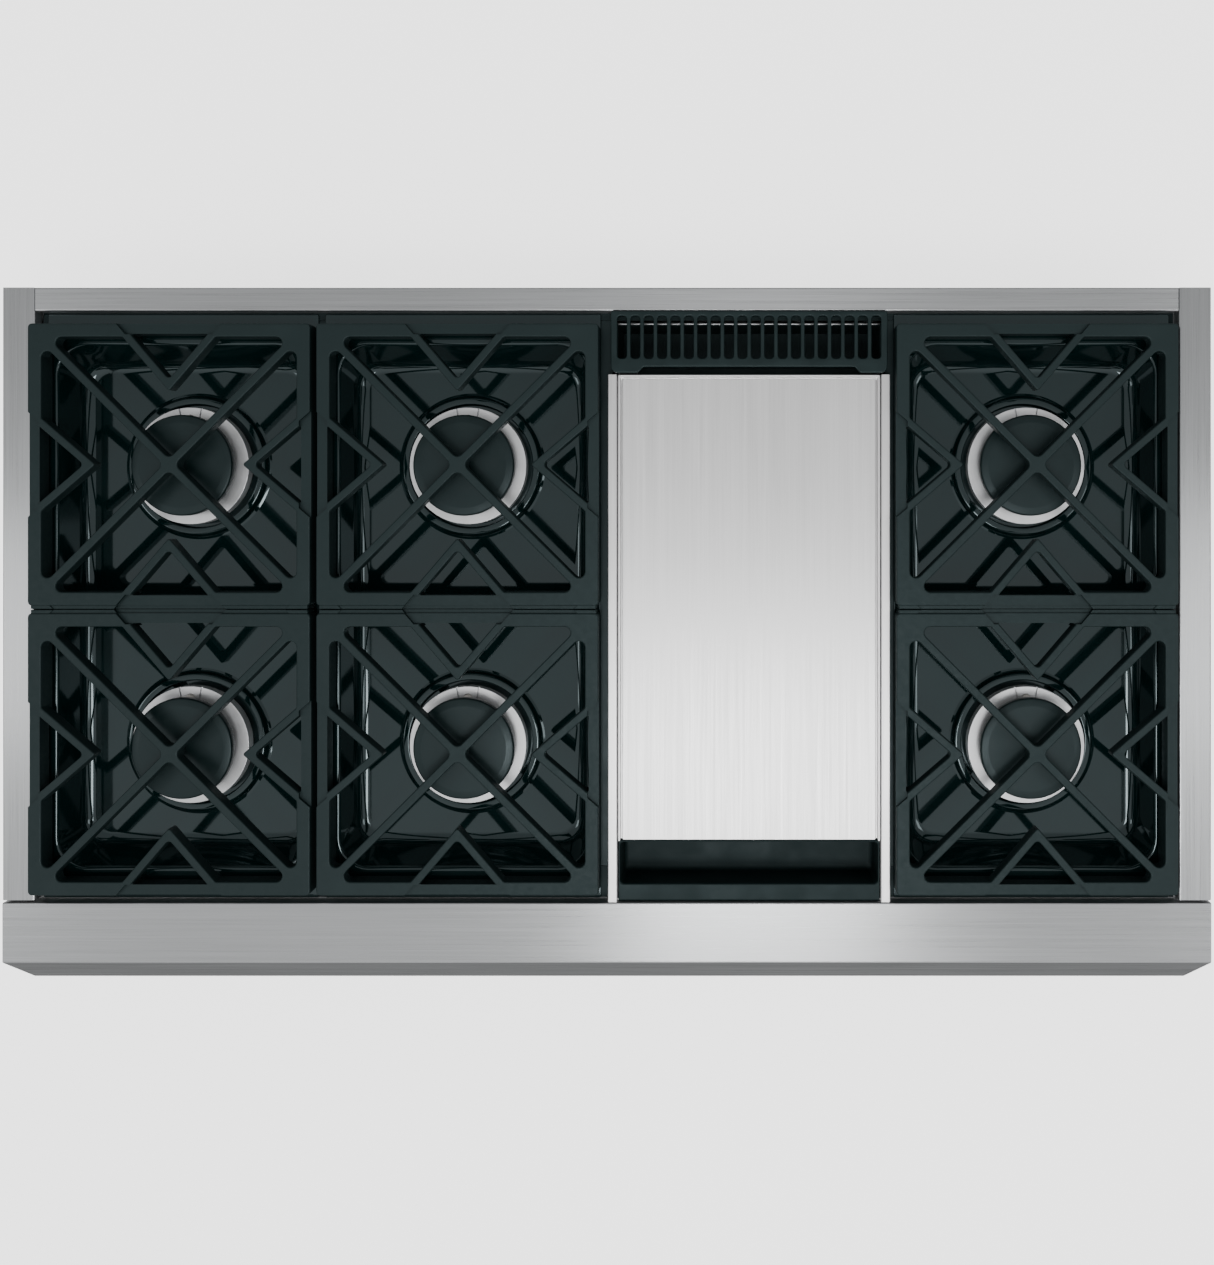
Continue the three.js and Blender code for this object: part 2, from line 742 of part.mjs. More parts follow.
// A U of flat burner tube on four legs, drawn about x = 0.
function griddleBurner() {
  const low = 141;
  const high = 163;
  const arm = 70;
  const halfTube = 11;
  const rear = 215;
  const bend = -90;
  const shape = new THREE.Shape();
  shape.moveTo(arm + halfTube, rear);
  shape.lineTo(arm - halfTube, rear);
  shape.absarc(0, bend, arm - halfTube, 0, Math.PI, true);
  shape.lineTo(-arm + halfTube, rear);
  shape.lineTo(-arm - halfTube, rear);
  shape.absarc(0, bend, arm + halfTube, Math.PI, 2 * Math.PI);
  let burner = extrudeUp(shape, low, high);
  for (const y of [-60, 190]) {
    burner = burner.add(block(-118, 118, y - 6, y + 6, low - 3, low + 1));
    for (const x of [-112, 112]) {
      burner = burner.add(block(x - 6, x + 6, y - 6, y + 6, TUB_FLOOR + SHEET + GAP, low));
    }
  }
  return burner;
}

// ---- gas, spark and controls ------------------------------------------------------------

// The supply tube, the valve bodies and the feed tubes that run from them to the burners.
function gasManifold() {
  const end = 581;
  const pieces = [rod([-end, MANIFOLD_Y, KNOB_Z], [end, MANIFOLD_Y, KNOB_Z], 11, 8)];
  for (const side of [-1, 1]) {
    const x = side * (end - 6);
    const bracketFront = BOX_FRONT + SHEET + GAP;
    pieces.push(block(x - 6, x + 6, bracketFront, MANIFOLD_Y, KNOB_Z - 8, KNOB_Z + 8));
  }
  for (const knob of knobs) {
    const { x, burnerX, burnerY } = knob;
    pieces.push(block(x - 12, x + 12, VALVE_FACE, MANIFOLD_Y, KNOB_Z - 13, KNOB_Z + 13));
    const route = [[x, MANIFOLD_Y, KNOB_Z], [x, burnerY, KNOB_Z]];
    if (burnerX !== x) route.push([burnerX, burnerY, KNOB_Z]);
    route.push([burnerX, burnerY, knob.name === "griddle" ? 135 : 112]);
    pieces.push(pipe(route, 4, 5));
  }
  const supplyEnd = REGULATOR_Y - REGULATOR_RADIUS - 1;
  pieces.push(rod([GAS_X, MANIFOLD_Y, KNOB_Z], [GAS_X, supplyEnd, KNOB_Z], 9, 8));
  return union(pieces);
}

function pressureRegulator() {
  const profile = [
    [0, -22],
    [16, -22],
    [18, -8],
    [REGULATOR_RADIUS, -6],
    [REGULATOR_RADIUS, 4],
    [20, 8],
    [14, 24],
    [0, 24],
  ];
  const body = solid(turned(profile, 16).translate(GAS_X, REGULATOR_Y, KNOB_Z));
  const inlet = rod([GAS_X, REGULATOR_Y + 10, KNOB_Z], [GAS_X, REAR - 2, KNOB_Z], 11, 12);
  return body.add(inlet);
}

function sparkModule() {
  const low = BOTTOM + GAP;
  const body = block(-170, -70, 190, 255, low, low + 38);
  const foot = block(-182, -58, 205, 240, low, low + 3);
  const sockets = [0, 1, 2, 3, 4, 5].map((i) =>
    rod([-158 + i * 15, 222, low + 36], [-158 + i * 15, 222, low + 46], 4, 8),
  );
  return union([body, foot, ...sockets]);
}

function powerInlet() {
  const wall = BOX_REAR;
  return union([
    rod([CORD_X, wall - 12, CORD_Z], [CORD_X, REAR - 0.3, CORD_Z], 8.5, 12),
    rod([CORD_X, wall + GAP, CORD_Z], [CORD_X, REAR, CORD_Z], 13, 12),
  ]);
}

// The shaft of a gas valve, drawn at x = 0: it passes through the panel into its knob.
function valveStem() {
  const stem = rod([0, VALVE_FACE - GAP, KNOB_Z], [0, PANEL_FACE - 26, KNOB_Z], 3.8, 12);
  const flat = block(-5, 5, PANEL_FACE - 27, PANEL_FACE - 8, KNOB_Z + 2.4, KNOB_Z + 6);
  return stem.subtract(flat);
}

// A skirted round knob with a raised pointer, drawn at x = 0.
function knobShape() {
  const profile = [
    [0, 26],
    [4.8, 26],
    [4.8, 0],
    [27, 0],
    [27, 4],
    [23.5, 7],
    [22, KNOB_LENGTH - 4],
    [20, KNOB_LENGTH - 1],
    [0, KNOB_LENGTH - 1],
  ];
  const body = turned(profile, 16).rotateX(Math.PI / 2).translate(0, KNOB_BACK, KNOB_Z);
  const face = KNOB_BACK - KNOB_LENGTH;
  const pointer = block(-1.5, 1.5, face, face + 3, KNOB_Z + 6, KNOB_Z + 19);
  return solid(body).add(pointer);
}

// ---- assembly ---------------------------------------------------------------------------

addPart("burner_box", burnerBox(), "galvanised");
addPart(
  "bottom_cover",
  block(-BOX_SIDE, BOX_SIDE, BOX_FRONT, BOX_REAR, 0, BOTTOM),
  "galvanised",
);
addPart("left_side_trim", sideTrim(-1), "stainless");
addPart("right_side_trim", sideTrim(1), "stainless");
addPart("rear_trim", rearTrim(), "stainless");
addPart("bullnose", bullnose(), "stainless");
addPart("control_panel", controlPanel(), "stainless");
for (const [name, x] of Object.entries(DIVIDERS)) {
  addPart(`bay_divider_${name}`, bayDivider(x), "enamel");
}

for (const [bay, x] of Object.entries(BAYS)) {
  addPart(`burner_pan_${bay}`, burnerPan(), "enamel", [x, 0, 0]);
  for (const [row, y] of Object.entries(ROWS)) {
    const place = [x, y, 0];
    const turn = row === "rear" ? 180 : 0;
    addPart(`grate_${row}_${bay}`, grate().rotate([0, 0, turn]), "castIron", place);
    addPart(`burner_head_${row}_${bay}`, burnerHead(), "aluminium", place);
    addPart(`burner_cap_${row}_${bay}`, burnerCap(), "matteBlack", place);
    addPart(`igniter_${row}_${bay}`, igniter(), "ceramic", [x, y + IGNITER_OFFSET, 0]);
  }
}

const griddlePlace = [GRIDDLE_X, 0, 0];
addPart("griddle_frame", griddleFrame(), "stainless", griddlePlace);
addPart("griddle_plate", griddlePlate(), "griddleSteel", griddlePlace);
addPart("griddle_vent_cover", griddleVentCover(), "enamel", griddlePlace);
addPart("grease_tray", greaseTray(), "enamel", griddlePlace);
addPart("griddle_burner", griddleBurner(), "stainless", griddlePlace);

addPart("gas_manifold", gasManifold(), "brass");
addPart("pressure_regulator", pressureRegulator(), "aluminium");
addPart("spark_module", sparkModule(), "plastic");
addPart("power_inlet", powerInlet(), "plastic");
for (const knob of knobs) {
  const place = [knob.x, 0, 0];
  addPart(`valve_stem_${knob.name}`, valveStem(), "galvanised", place);
  addPart(`knob_${knob.name}`, knobShape(), "stainless", place);
}

export default group;
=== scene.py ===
import math

import bmesh
import bpy
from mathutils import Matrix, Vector


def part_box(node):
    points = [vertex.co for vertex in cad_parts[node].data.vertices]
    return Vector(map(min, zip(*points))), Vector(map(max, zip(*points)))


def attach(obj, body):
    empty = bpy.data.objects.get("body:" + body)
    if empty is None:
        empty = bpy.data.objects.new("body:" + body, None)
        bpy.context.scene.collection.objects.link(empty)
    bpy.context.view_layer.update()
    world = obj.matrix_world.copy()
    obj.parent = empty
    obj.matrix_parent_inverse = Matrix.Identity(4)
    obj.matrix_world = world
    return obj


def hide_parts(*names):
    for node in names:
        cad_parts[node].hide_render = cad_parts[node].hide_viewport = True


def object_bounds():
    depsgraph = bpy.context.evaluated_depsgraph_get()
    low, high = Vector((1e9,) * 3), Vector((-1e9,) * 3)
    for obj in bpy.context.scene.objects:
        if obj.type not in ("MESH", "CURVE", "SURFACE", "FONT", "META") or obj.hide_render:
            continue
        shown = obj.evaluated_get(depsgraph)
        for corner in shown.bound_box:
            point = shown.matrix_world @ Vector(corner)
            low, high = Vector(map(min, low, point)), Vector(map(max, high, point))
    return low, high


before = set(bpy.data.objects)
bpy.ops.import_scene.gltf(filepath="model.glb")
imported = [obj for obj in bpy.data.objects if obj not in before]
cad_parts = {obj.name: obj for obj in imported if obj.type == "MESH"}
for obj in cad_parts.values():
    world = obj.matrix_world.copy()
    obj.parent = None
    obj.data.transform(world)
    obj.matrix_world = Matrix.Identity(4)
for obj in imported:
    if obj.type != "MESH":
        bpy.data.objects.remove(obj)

# A 48 inch gas rangetop. Everything is in metres, in the frame of the CAD model: +Z up, the front
# faces -Y. Places and sizes come from the boxes of the CAD nodes; MM turns small sizes into metres.
MM = 0.001
cad_low, cad_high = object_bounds()

BAYS = ("left", "centre", "right")
ROWS = ("rear", "front")
BURNERS = [f"{row}_{bay}" for bay in BAYS for row in ROWS]
KNOBS = BURNERS + ["griddle"]

TOP = cad_high.z
PAN_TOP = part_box("burner_pan_left")[1].z
TRIM_FOOT = PAN_TOP - 1.5 * MM
TRIM_SHEET = 1.7 * MM
HEAD_BELOW_FLOOR = 30 * MM
PAN_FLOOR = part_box("burner_head_front_left")[0].z + HEAD_BELOW_FLOOR
SHEET = 2 * MM
QUARTER_TURN = math.pi / 2


def middle(node):
    low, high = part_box(node)
    return (low + high) / 2


def burner_place(burner, behind=0.0):
    """The foot of a burner's axis, or a spot behind it."""
    spot = middle("burner_cap_" + burner)
    return (spot.x, spot.y + behind, 0)


IGNITER_OFFSET = middle("igniter_rear_left").y - middle("burner_cap_rear_left").y


# ---- outlines ----

def signed_area(points):
    pairs = zip(points, points[1:] + points[:1])
    return sum(a.x * b.y - b.x * a.y for a, b in pairs) / 2


def rounded(points, radius=0.0, steps=5):
    """A closed outline with arcs at its corners. A point may carry a radius of its own."""
    outline = []
    for i, point in enumerate(points):
        r = point[2] if len(point) > 2 else radius
        before = Vector(points[i - 1][:2])
        corner = Vector(point[:2])
        after = Vector(points[(i + 1) % len(points)][:2])
        outline += arc_at(before, corner, after, r, steps)
    return outline


def arc_at(before, corner, after, radius, steps):
    """The points of the arc that rounds one corner, or the corner alone where it stays sharp."""
    if radius <= 0:
        return [corner]
    u = (before - corner).normalized()
    v = (after - corner).normalized()
    angle = u.angle(v)
    if angle > math.radians(179.5):
        return [corner]
    reach = radius / math.tan(angle / 2)
    centre = corner + (u + v).normalized() * (radius / math.sin(angle / 2))
    start = corner + u * reach - centre
    end = corner + v * reach - centre
    sweep = math.pi - angle
    points = []
    for k in range(steps + 1):
        t = k / steps
        mix = start * math.sin((1 - t) * sweep) + end * math.sin(t * sweep)
        points.append(centre + mix / math.sin(sweep))
    return points


def mitre(first, second, distance):
    """The move of a corner between two directions when both its sides move to the left."""
    normal_1 = Vector((-first.y, first.x))
    normal_2 = Vector((-second.y, second.x))
    return (normal_1 + normal_2) * (distance / (1 + normal_1.dot(normal_2)))


def inset(points, distance):
    """A counter-clockwise outline moved inwards, with mitred corners."""
    moved = []
    for i, point in enumerate(points):
        first = (point - points[i - 1]).normalized()
        second = (points[(i + 1) % len(points)] - point).normalized()
        moved.append(point + mitre(first, second, distance))
    return moved


def sheet_outline(path, thickness=SHEET, bend=2 * MM, steps=4):
    """The section of a folded sheet: the path is its outer skin, with the metal to its left."""
    points = [Vector(p[:2]) for p in path]
    skin = [points[0]]
    for before, corner, after in zip(points, points[1:], points[2:]):
        skin += arc_at(before, corner, after, bend, steps)
    skin.append(points[-1])
    inner = []
    for i, point in enumerate(skin):
        first = (point - skin[i - 1]).normalized() if i else (skin[1] - point).normalized()
        last = i == len(skin) - 1
        second = first if last else (skin[i + 1] - point).normalized()
        inner.append(point + mitre(first, second, thickness))
    return skin + inner[::-1]


# ---- meshes ----

def along_z(a, b, c):
    return Vector((a, b, c))


def along_x(a, b, c):
    """An outline in y and z, run along x."""
    return Vector((c, a, b))


def along_y(a, b, c):
    """An outline in x and z, run towards the front: c counts from the rear."""
    return Vector((a, -c, b))


def bridge(bm, low, high):
    """Faces between two loops of equal length."""
    for k in range(len(low)):
        after = (k + 1) % len(low)
        bm.faces.new((low[k], low[after], high[after], high[k]))


def skin_rings(bm, rings):
    """A closed skin over rings of equal length, with a cap at each end."""
    loops = [[bm.verts.new(point) for point in ring] for ring in rings]
    for low, high in zip(loops, loops[1:]):
        bridge(bm, low, high)
    bm.faces.new(loops[0][::-1])
    bm.faces.new(loops[-1])


def stack(bm, outline, levels, place=along_z):
    """A closed skin through levels of one outline, each level a height and an inset."""
    points = [Vector(p[:2]) for p in outline]
    if signed_area(points) < 0:
        points.reverse()
    rings = []
    for z, distance in levels:
        ring = inset(points, distance) if distance else points
        rings.append([place(p.x, p.y, z) for p in ring])
    skin_rings(bm, rings)


def quarter_arc(steps):
    """The sine and cosine of equal steps through a quarter turn."""
    turns = [k / steps * QUARTER_TURN for k in range(steps + 1)]
    return [(math.sin(turn), math.cos(turn)) for turn in turns]


def circle(steps):
    """The cosine and sine of equal steps through a full turn."""
    turns = [2 * math.pi * k / steps for k in range(steps)]
    return [(math.cos(turn), math.sin(turn)) for turn in turns]


def prism(bm, outline, low, high, edge=0.0, place=along_z, steps=3):
    """An outline run from low to high, its end edges rounded by the radius edge."""
    levels = [(low, 0.0), (high, 0.0)]
    if edge:
        bottom = [(low + edge * (1 - sin), edge * (1 - cos)) for sin, cos in quarter_arc(steps)]
        levels = bottom[::-1] + [(low + high - z, d) for z, d in bottom]
    stack(bm, outline, levels, place)


def rectangle(x0, x1, y0, y1, radius=0.0, steps=4):
    return rounded([(x0, y0), (x1, y0), (x1, y1), (x0, y1)], radius, steps)


def walls(bm, spans, low, high, edge, place=along_z):
    """Upright plates, each over a span of x0, x1, y0 and y1."""
    for span in spans:
        prism(bm, rectangle(*span), low, high, edge, place)


def spin(bm, profile, segments=64, centre=(0, 0, 0), place=along_z):
    """A profile of (radius, height) points that starts and ends on the axis, turned about it."""
    origin = Vector(centre)
    loops = []
    for radius, height in profile:
        if radius > 1e-9:
            spots = [place(radius * x, radius * y, height) for x, y in circle(segments)]
            loops.append([bm.verts.new(origin + spot) for spot in spots])
    for low, high in zip(loops, loops[1:]):
        bridge(bm, low, high)
    for loop, end in ((loops[0], profile[0]), (loops[-1], profile[-1])):
        tip = bm.verts.new(origin + place(0, 0, end[1]))
        for k in range(segments):
            bm.faces.new((tip, loop[k], loop[(k + 1) % segments]))


def turned_profile(points, radius=0.0, steps=4):
    """A lathe profile whose inner corners are rounded; a point may carry its own radius."""
    profile = [points[0][:2]]
    for before, point, after in zip(points, points[1:], points[2:]):
        r = point[2] if len(point) > 2 else radius
        corner = arc_at(Vector(before[:2]), Vector(point[:2]), Vector(after[:2]), r, steps)
        profile += [tuple(p) for p in corner]
    profile.append(points[-1][:2])
    return profile


def ring_tube(bm, section, segments=96, place=along_z):
    """A closed section of (radius, height) points, turned about the axis into a ring."""
    loops = []
    for x, y in circle(segments):
        loops.append([bm.verts.new(place(radius * x, radius * y, h)) for radius, h in section])
    for k, here in enumerate(loops):
        bridge(bm, loops[(k + 1) % segments], here)


def link(name, data):
    """A new object in the scene."""
    made = bpy.data.objects.new(name, data)
    bpy.context.scene.collection.objects.link(made)
    return made


def evaluated(thing):
    """The object as its modifiers leave it."""
    return thing.evaluated_get(bpy.context.evaluated_depsgraph_get())


def mesh_of(name, build, sharp=32.0, weighted=True):
    """The mesh that build draws, smooth but for the edges sharper than an angle in degrees."""
    bm = bmesh.new()
    build(bm)
    bmesh.ops.remove_doubles(bm, verts=bm.verts, dist=1e-6)
    return closed_mesh(name, bm, sharp, weighted)


def closed_mesh(name, bm, sharp, weighted):
    bmesh.ops.recalc_face_normals(bm, faces=bm.faces)
    limit = math.radians(sharp)
    for edge in bm.edges:
        edge.smooth = len(edge.link_faces) == 2 and edge.calc_face_angle(0) < limit
    for face in bm.faces:
        face.smooth = True
    mesh = bpy.data.meshes.new(name)
    bm.to_mesh(mesh)
    bm.free()
    return weigh_normals(mesh) if weighted else mesh


def turned(name, points, segments, sharp=50, place=along_z):
    """The mesh of a lathe profile."""
    profile = turned_profile(points)
    return mesh_of(name, lambda bm: spin(bm, profile, segments, place=place), sharp, False)


def weigh_normals(mesh):
    """Large flat faces keep their own normal right up to a rounded edge."""
    helper = link("weigh", mesh)
    modifier = helper.modifiers.new("weigh", "WEIGHTED_NORMAL")
    modifier.keep_sharp = True
    modifier.weight = 100
    made = bpy.data.meshes.new_from_object(evaluated(helper))
    made.name = mesh.name
    bpy.data.objects.remove(helper)
    bpy.data.meshes.remove(mesh)
    return made


def combined(name, builds, cuts=(), sharp=32.0):
    """One solid from several closed shapes, with others cut away one after another."""
    helpers = []

    def helper(shape):
        helpers.append(link("shape", mesh_of("shape", shape, weighted=False)))
        return helpers[-1]

    base = helper(builds[0])
    for shapes, operation in ((builds[1:], "UNION"), (cuts, "DIFFERENCE")):
        for shape in shapes:
            modifier = base.modifiers.new(operation, "BOOLEAN")
            modifier.operation = operation
            modifier.object = helper(shape)
            modifier.solver = "EXACT"
    result = evaluated(base)
    bm = bmesh.new()
    bm.from_mesh(result.to_mesh())
    result.to_mesh_clear()
    for made in helpers:
        bpy.data.objects.remove(made)
    bmesh.ops.remove_doubles(bm, verts=bm.verts, dist=1e-6)
    bmesh.ops.dissolve_degenerate(bm, edges=bm.edges, dist=1e-6)
    return closed_mesh(name, bm, sharp, True)


def add_piece(name, mesh, material, body="rangetop", at=(0, 0, 0), stands_for=()):
    if not mesh.materials:
        mesh.materials.append(material)
    piece = link(name, mesh)
    piece.location = at
    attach(piece, body)
    if stands_for:
        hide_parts(*stands_for)
    return piece


# ---- materials ----

def new_tree(name):
    """The empty node tree of a new material."""
    material = bpy.data.materials.new(name)
    material.use_nodes = True
    material.node_tree.nodes.clear()
    return material, material.node_tree


def add_node(tree, kind, inputs=None, **settings):
    node = tree.nodes.new("ShaderNode" + kind)
    for key, value in settings.items():
        setattr(node, key, value)
    for key, value in (inputs or {}).items():
        if isinstance(value, bpy.types.NodeSocket):
            tree.links.new(value, node.inputs[key])
        else:
            node.inputs[key].default_value = value
    return node


def object_coords(tree, scale=(1, 1, 1)):
    coords = add_node(tree, "TexCoord")
    mapping = add_node(tree, "Mapping", {"Vector": coords.outputs["Object"], "Scale": scale})
    return mapping.outputs[0]


def noise(tree, vector, scale, detail=3.0, roughness=0.5):
    inputs = {"Vector": vector, "Scale": scale, "Detail": detail, "Roughness": roughness}
    return add_node(tree, "TexNoise", inputs).outputs[0]


def spread(tree, value, low, high, start=0.3, end=0.7):
    """A noise value stretched from start..end to low..high."""
    inputs = {"Value": value, "From Min": start, "From Max": end, "To Min": low, "To Max": high}
    return add_node(tree, "MapRange", inputs).outputs[0]


def tinted(tree, dark, light, factor):
    mix = add_node(tree, "Mix", data_type="RGBA")
    mix.inputs[6].default_value = (*dark, 1)
    mix.inputs[7].default_value = (*light, 1)
    tree.links.new(factor, mix.inputs[0])
    return mix.outputs[2]


def plus(tree, a, b, weight=1.0):
    inputs = {0: b, 1: weight, 2: a}
    return add_node(tree, "Math", inputs, operation="MULTIPLY_ADD").outputs[0]


def bump(tree, height, strength, distance):
    inputs = {"Height": height, "Strength": strength, "Distance": distance}
    return add_node(tree, "Bump", inputs).outputs[0]


def shaded(material, **sockets):
    """The material, given its shader. Each socket takes a plain value or a node's output."""
    tree = material.node_tree
    inputs = {name.replace("_", " "): value for name, value in sockets.items()}
    shader = add_node(tree, "BsdfPrincipled", inputs)
    add_node(tree, "OutputMaterial", {"Surface": shader.outputs[0]})
    return material


TEAL_TINT = (0.80, 0.96, 1.0, 1.0)
SOFT_SHEEN = 0.36


def brushed_metal(name, dark, light, grain, rough=(0.24, 0.36), relief=0.12, metallic=1.0):
    """Sheet with hairlines along one axis. grain is the texture scale along x, y and z, and is
    smallest along the hairlines. Highlights spread across them."""
    material, tree = new_tree(name)
    lengthwise = [1.0 if g == min(grain) else 0.0 for g in grain]
    normal = add_node(tree, "NewGeometry").outputs["Normal"]
    across = add_node(tree, "VectorMath", {0: normal, 1: lengthwise}, operation="CROSS_PRODUCT")
    lines = noise(tree, object_coords(tree, grain), 1.0, 5.0, 0.65)
    coarse = noise(tree, object_coords(tree, [g * 0.22 for g in grain]), 1.0, 2.0)
    cloud = noise(tree, object_coords(tree), 5.0, 2.0)
    both = plus(tree, lines, coarse, 0.6)
    tone = spread(tree, plus(tree, both, cloud, 0.35), 0.0, 1.0, 0.65, 1.3)
    return shaded(
        material,
        Base_Color=tinted(tree, dark, light, tone),
        Metallic=metallic,
        Roughness=spread(tree, both, *rough, 0.5, 1.1),
        Normal=bump(tree, both, relief, 0.12 * MM),
        Anisotropic=0.7,
        Tangent=across.outputs[0],
    )


def turned_metal(name, dark, light, rough=(0.25, 0.4), metallic=1.0, axis="z"):
    """Metal faced on a lathe: fine rings about the piece's own axis."""
    material, tree = new_tree(name)
    coords = add_node(tree, "TexCoord")
    flat = (1, 1, 0) if axis == "z" else (1, 0, 1)
    planar = add_node(tree, "VectorMath", {0: coords.outputs["Object"], 1: flat},
                      operation="MULTIPLY")
    radius = add_node(tree, "VectorMath", {0: planar.outputs[0]}, operation="LENGTH")
    along = add_node(tree, "CombineXYZ", {"X": radius.outputs["Value"]})
    rings = noise(tree, along.outputs[0], 2400.0, 3.0)
    cloud = noise(tree, coords.outputs["Object"], 60.0, 3.0)
    both = plus(tree, rings, cloud, 0.5)
    return shaded(
        material,
        Base_Color=tinted(tree, dark, light, spread(tree, both, 0, 1, 0.5, 1.0)),
        Metallic=metallic,
        Roughness=spread(tree, both, *rough, 0.5, 1.0),
        Normal=bump(tree, rings, 0.15, 0.05 * MM),
    )


def gloss_enamel(name, dark, light):
    """Fired porcelain enamel: a deep gloss with a faint orange peel and pinhole specks."""
    material, tree = new_tree(name)
    coords = object_coords(tree)
    cloud = noise(tree, coords, 9.0, 4.0)
    peel = noise(tree, coords, 160.0, 2.0)
    specks = noise(tree, coords, 1500.0, 1.0)
    tone = spread(tree, plus(tree, cloud, specks, 0.3), 0, 1, 0.4, 0.95)
    return shaded(
        material,
        Base_Color=tinted(tree, dark, light, tone),
        Roughness=spread(tree, cloud, 0.035, 0.09),
        IOR=1.6,
        Specular_Tint=TEAL_TINT,
        Normal=bump(tree, peel, 0.03, 0.15 * MM),
    )


def cast_iron(name, dark, light):
    """Matte enamel over cast iron: sandy skin, rubbed a little lighter where it stands proud."""
    material, tree = new_tree(name)
    coords = object_coords(tree)
    sand = noise(tree, coords, 1100.0, 4.0, 0.6)
    lumps = noise(tree, coords, 220.0, 3.0)
    cloud = noise(tree, coords, 14.0, 3.0)
    skin = plus(tree, sand, lumps, 0.8)
    tone = spread(tree, plus(tree, cloud, skin, 0.35), 0, 1, 0.85, 1.35)
    return shaded(
        material,
        Base_Color=tinted(tree, dark, light, tone),
        Roughness=spread(tree, skin, 0.42, 0.62, 0.6, 1.2),
        Specular_IOR_Level=SOFT_SHEEN,
        Specular_Tint=TEAL_TINT,
        Normal=bump(tree, skin, 0.35, 0.25 * MM),
    )


def grained(name, dark, light, cloud, grit, weight, tones, rough, relief, **sockets):
    """Slow, cloudy changes of tone and sheen under a fine tooth. cloud and grit are the scale
    and the detail of the two noises."""
    material, tree = new_tree(name)
    coords = object_coords(tree)
    slow = noise(tree, coords, *cloud)
    fine = noise(tree, coords, *grit)
    tone = spread(tree, plus(tree, slow, fine, weight), 0, 1, *tones)
    return shaded(
        material,
        Base_Color=tinted(tree, dark, light, tone),
        Roughness=spread(tree, slow, *rough),
        Normal=bump(tree, fine, relief, 0.1 * MM),
        **sockets,
    )


def matte_enamel(name, dark, light, rough=(0.32, 0.5)):
    return grained(
        name, dark, light, (38.0, 4.0), (1400.0, 2.0), 0.25, (0.45, 0.85), rough, 0.18,
        Specular_IOR_Level=SOFT_SHEEN, Specular_Tint=TEAL_TINT,
    )


def galvanised_sheet(name):
    """Zinc spangle: flat crystals of slightly different grey."""
    material, tree = new_tree(name)
    coords = object_coords(tree)
    crystals = add_node(tree, "TexVoronoi", {"Vector": coords, "Scale": 160.0})
    spangle = add_node(tree, "SeparateColor", {"Color": crystals.outputs["Color"]}).outputs[0]
    cloud = noise(tree, coords, 7.0, 3.0)
    tone = spread(tree, plus(tree, cloud, spangle, 0.4), 0, 1, 0.4, 1.0)
    return shaded(
        material,
        Base_Color=tinted(tree, (0.45, 0.465, 0.47), (0.53, 0.545, 0.55), tone),
        Metallic=1.0,
        Roughness=spread(tree, spangle, 0.42, 0.5, 0.0, 1.0),
        Normal=bump(tree, cloud, 0.1, 1.0 * MM),
    )


def moulded(name, dark, light, rough=(0.4, 0.55), metallic=0.0):
    return grained(
        name, dark, light, (45.0, 2.0), (900.0, 3.0), 0.4, (0.5, 0.9), rough, 0.15,
        Metallic=metallic,
    )


STEEL_DARK = (0.36, 0.37, 0.375)
STEEL_LIGHT = (0.48, 0.49, 0.50)
LONG = 9.0
FINE = 1300.0
steel_x = brushed_metal("steel_brushed_x", STEEL_DARK, STEEL_LIGHT, (LONG, FINE, FINE))
steel_y = brushed_metal("steel_brushed_y", STEEL_DARK, STEEL_LIGHT, (FINE, LONG, FINE))
griddle_steel = brushed_metal(
    "griddle_steel", (0.80, 0.80, 0.80), (0.94, 0.94, 0.94), (FINE, LONG, FINE), (0.34, 0.5)
)
iron = cast_iron("cast_iron", (0.004, 0.011, 0.011), (0.010, 0.019, 0.019))
enamel = gloss_enamel("porcelain_enamel", (0.001, 0.008, 0.008), (0.003, 0.012, 0.012))
BLACK = (0.001, 0.007, 0.007)
cap_enamel = matte_enamel("cap_enamel", BLACK, (0.005, 0.012, 0.012))
tray_enamel = matte_enamel("tray_enamel", BLACK, (0.004, 0.011, 0.011), (0.5, 0.65))
satin_enamel = matte_enamel("satin_enamel", BLACK, (0.004, 0.012, 0.012), (0.34, 0.46))
ring_metal = turned_metal(
    "ring_aluminium", (0.60, 0.61, 0.62), (0.80, 0.81, 0.82), (0.34, 0.5), 0.75
)
knob_metal = turned_metal("knob_metal", STEEL_DARK, (0.72, 0.73, 0.74), axis="y")
galvanised = galvanised_sheet("galvanised")
black_plastic = moulded("black_plastic", (0.012, 0.012, 0.013), (0.022, 0.022, 0.023))
ceramic = moulded("igniter_ceramic", (0.55, 0.53, 0.49), (0.72, 0.70, 0.66), (0.3, 0.45))
brass = moulded("brass", (0.48, 0.34, 0.15), (0.62, 0.46, 0.22), (0.3, 0.45), 1.0)
cast_aluminium = moulded("cast_aluminium", (0.5, 0.51, 0.52), (0.62, 0.63, 0.64), (0.4, 0.6), 1.0)


# ---- grates ----

def flared(bm, outline, low, top, radius, steps=4):
    """A window to cut out: plumb sides that turn outwards at the top, so its edge is rounded.
    It stands a hair above the top, so that no cutter shares a face with the plate."""
    hair = 0.02 * MM
    levels = [(low + hair, 0.0)]
    for sin, cos in quarter_arc(steps):
        levels.append((top - radius + radius * sin + hair, -radius * (1 - cos)))
    levels.append((top + 1 * MM + hair, -radius))
    stack(bm, outline, levels)


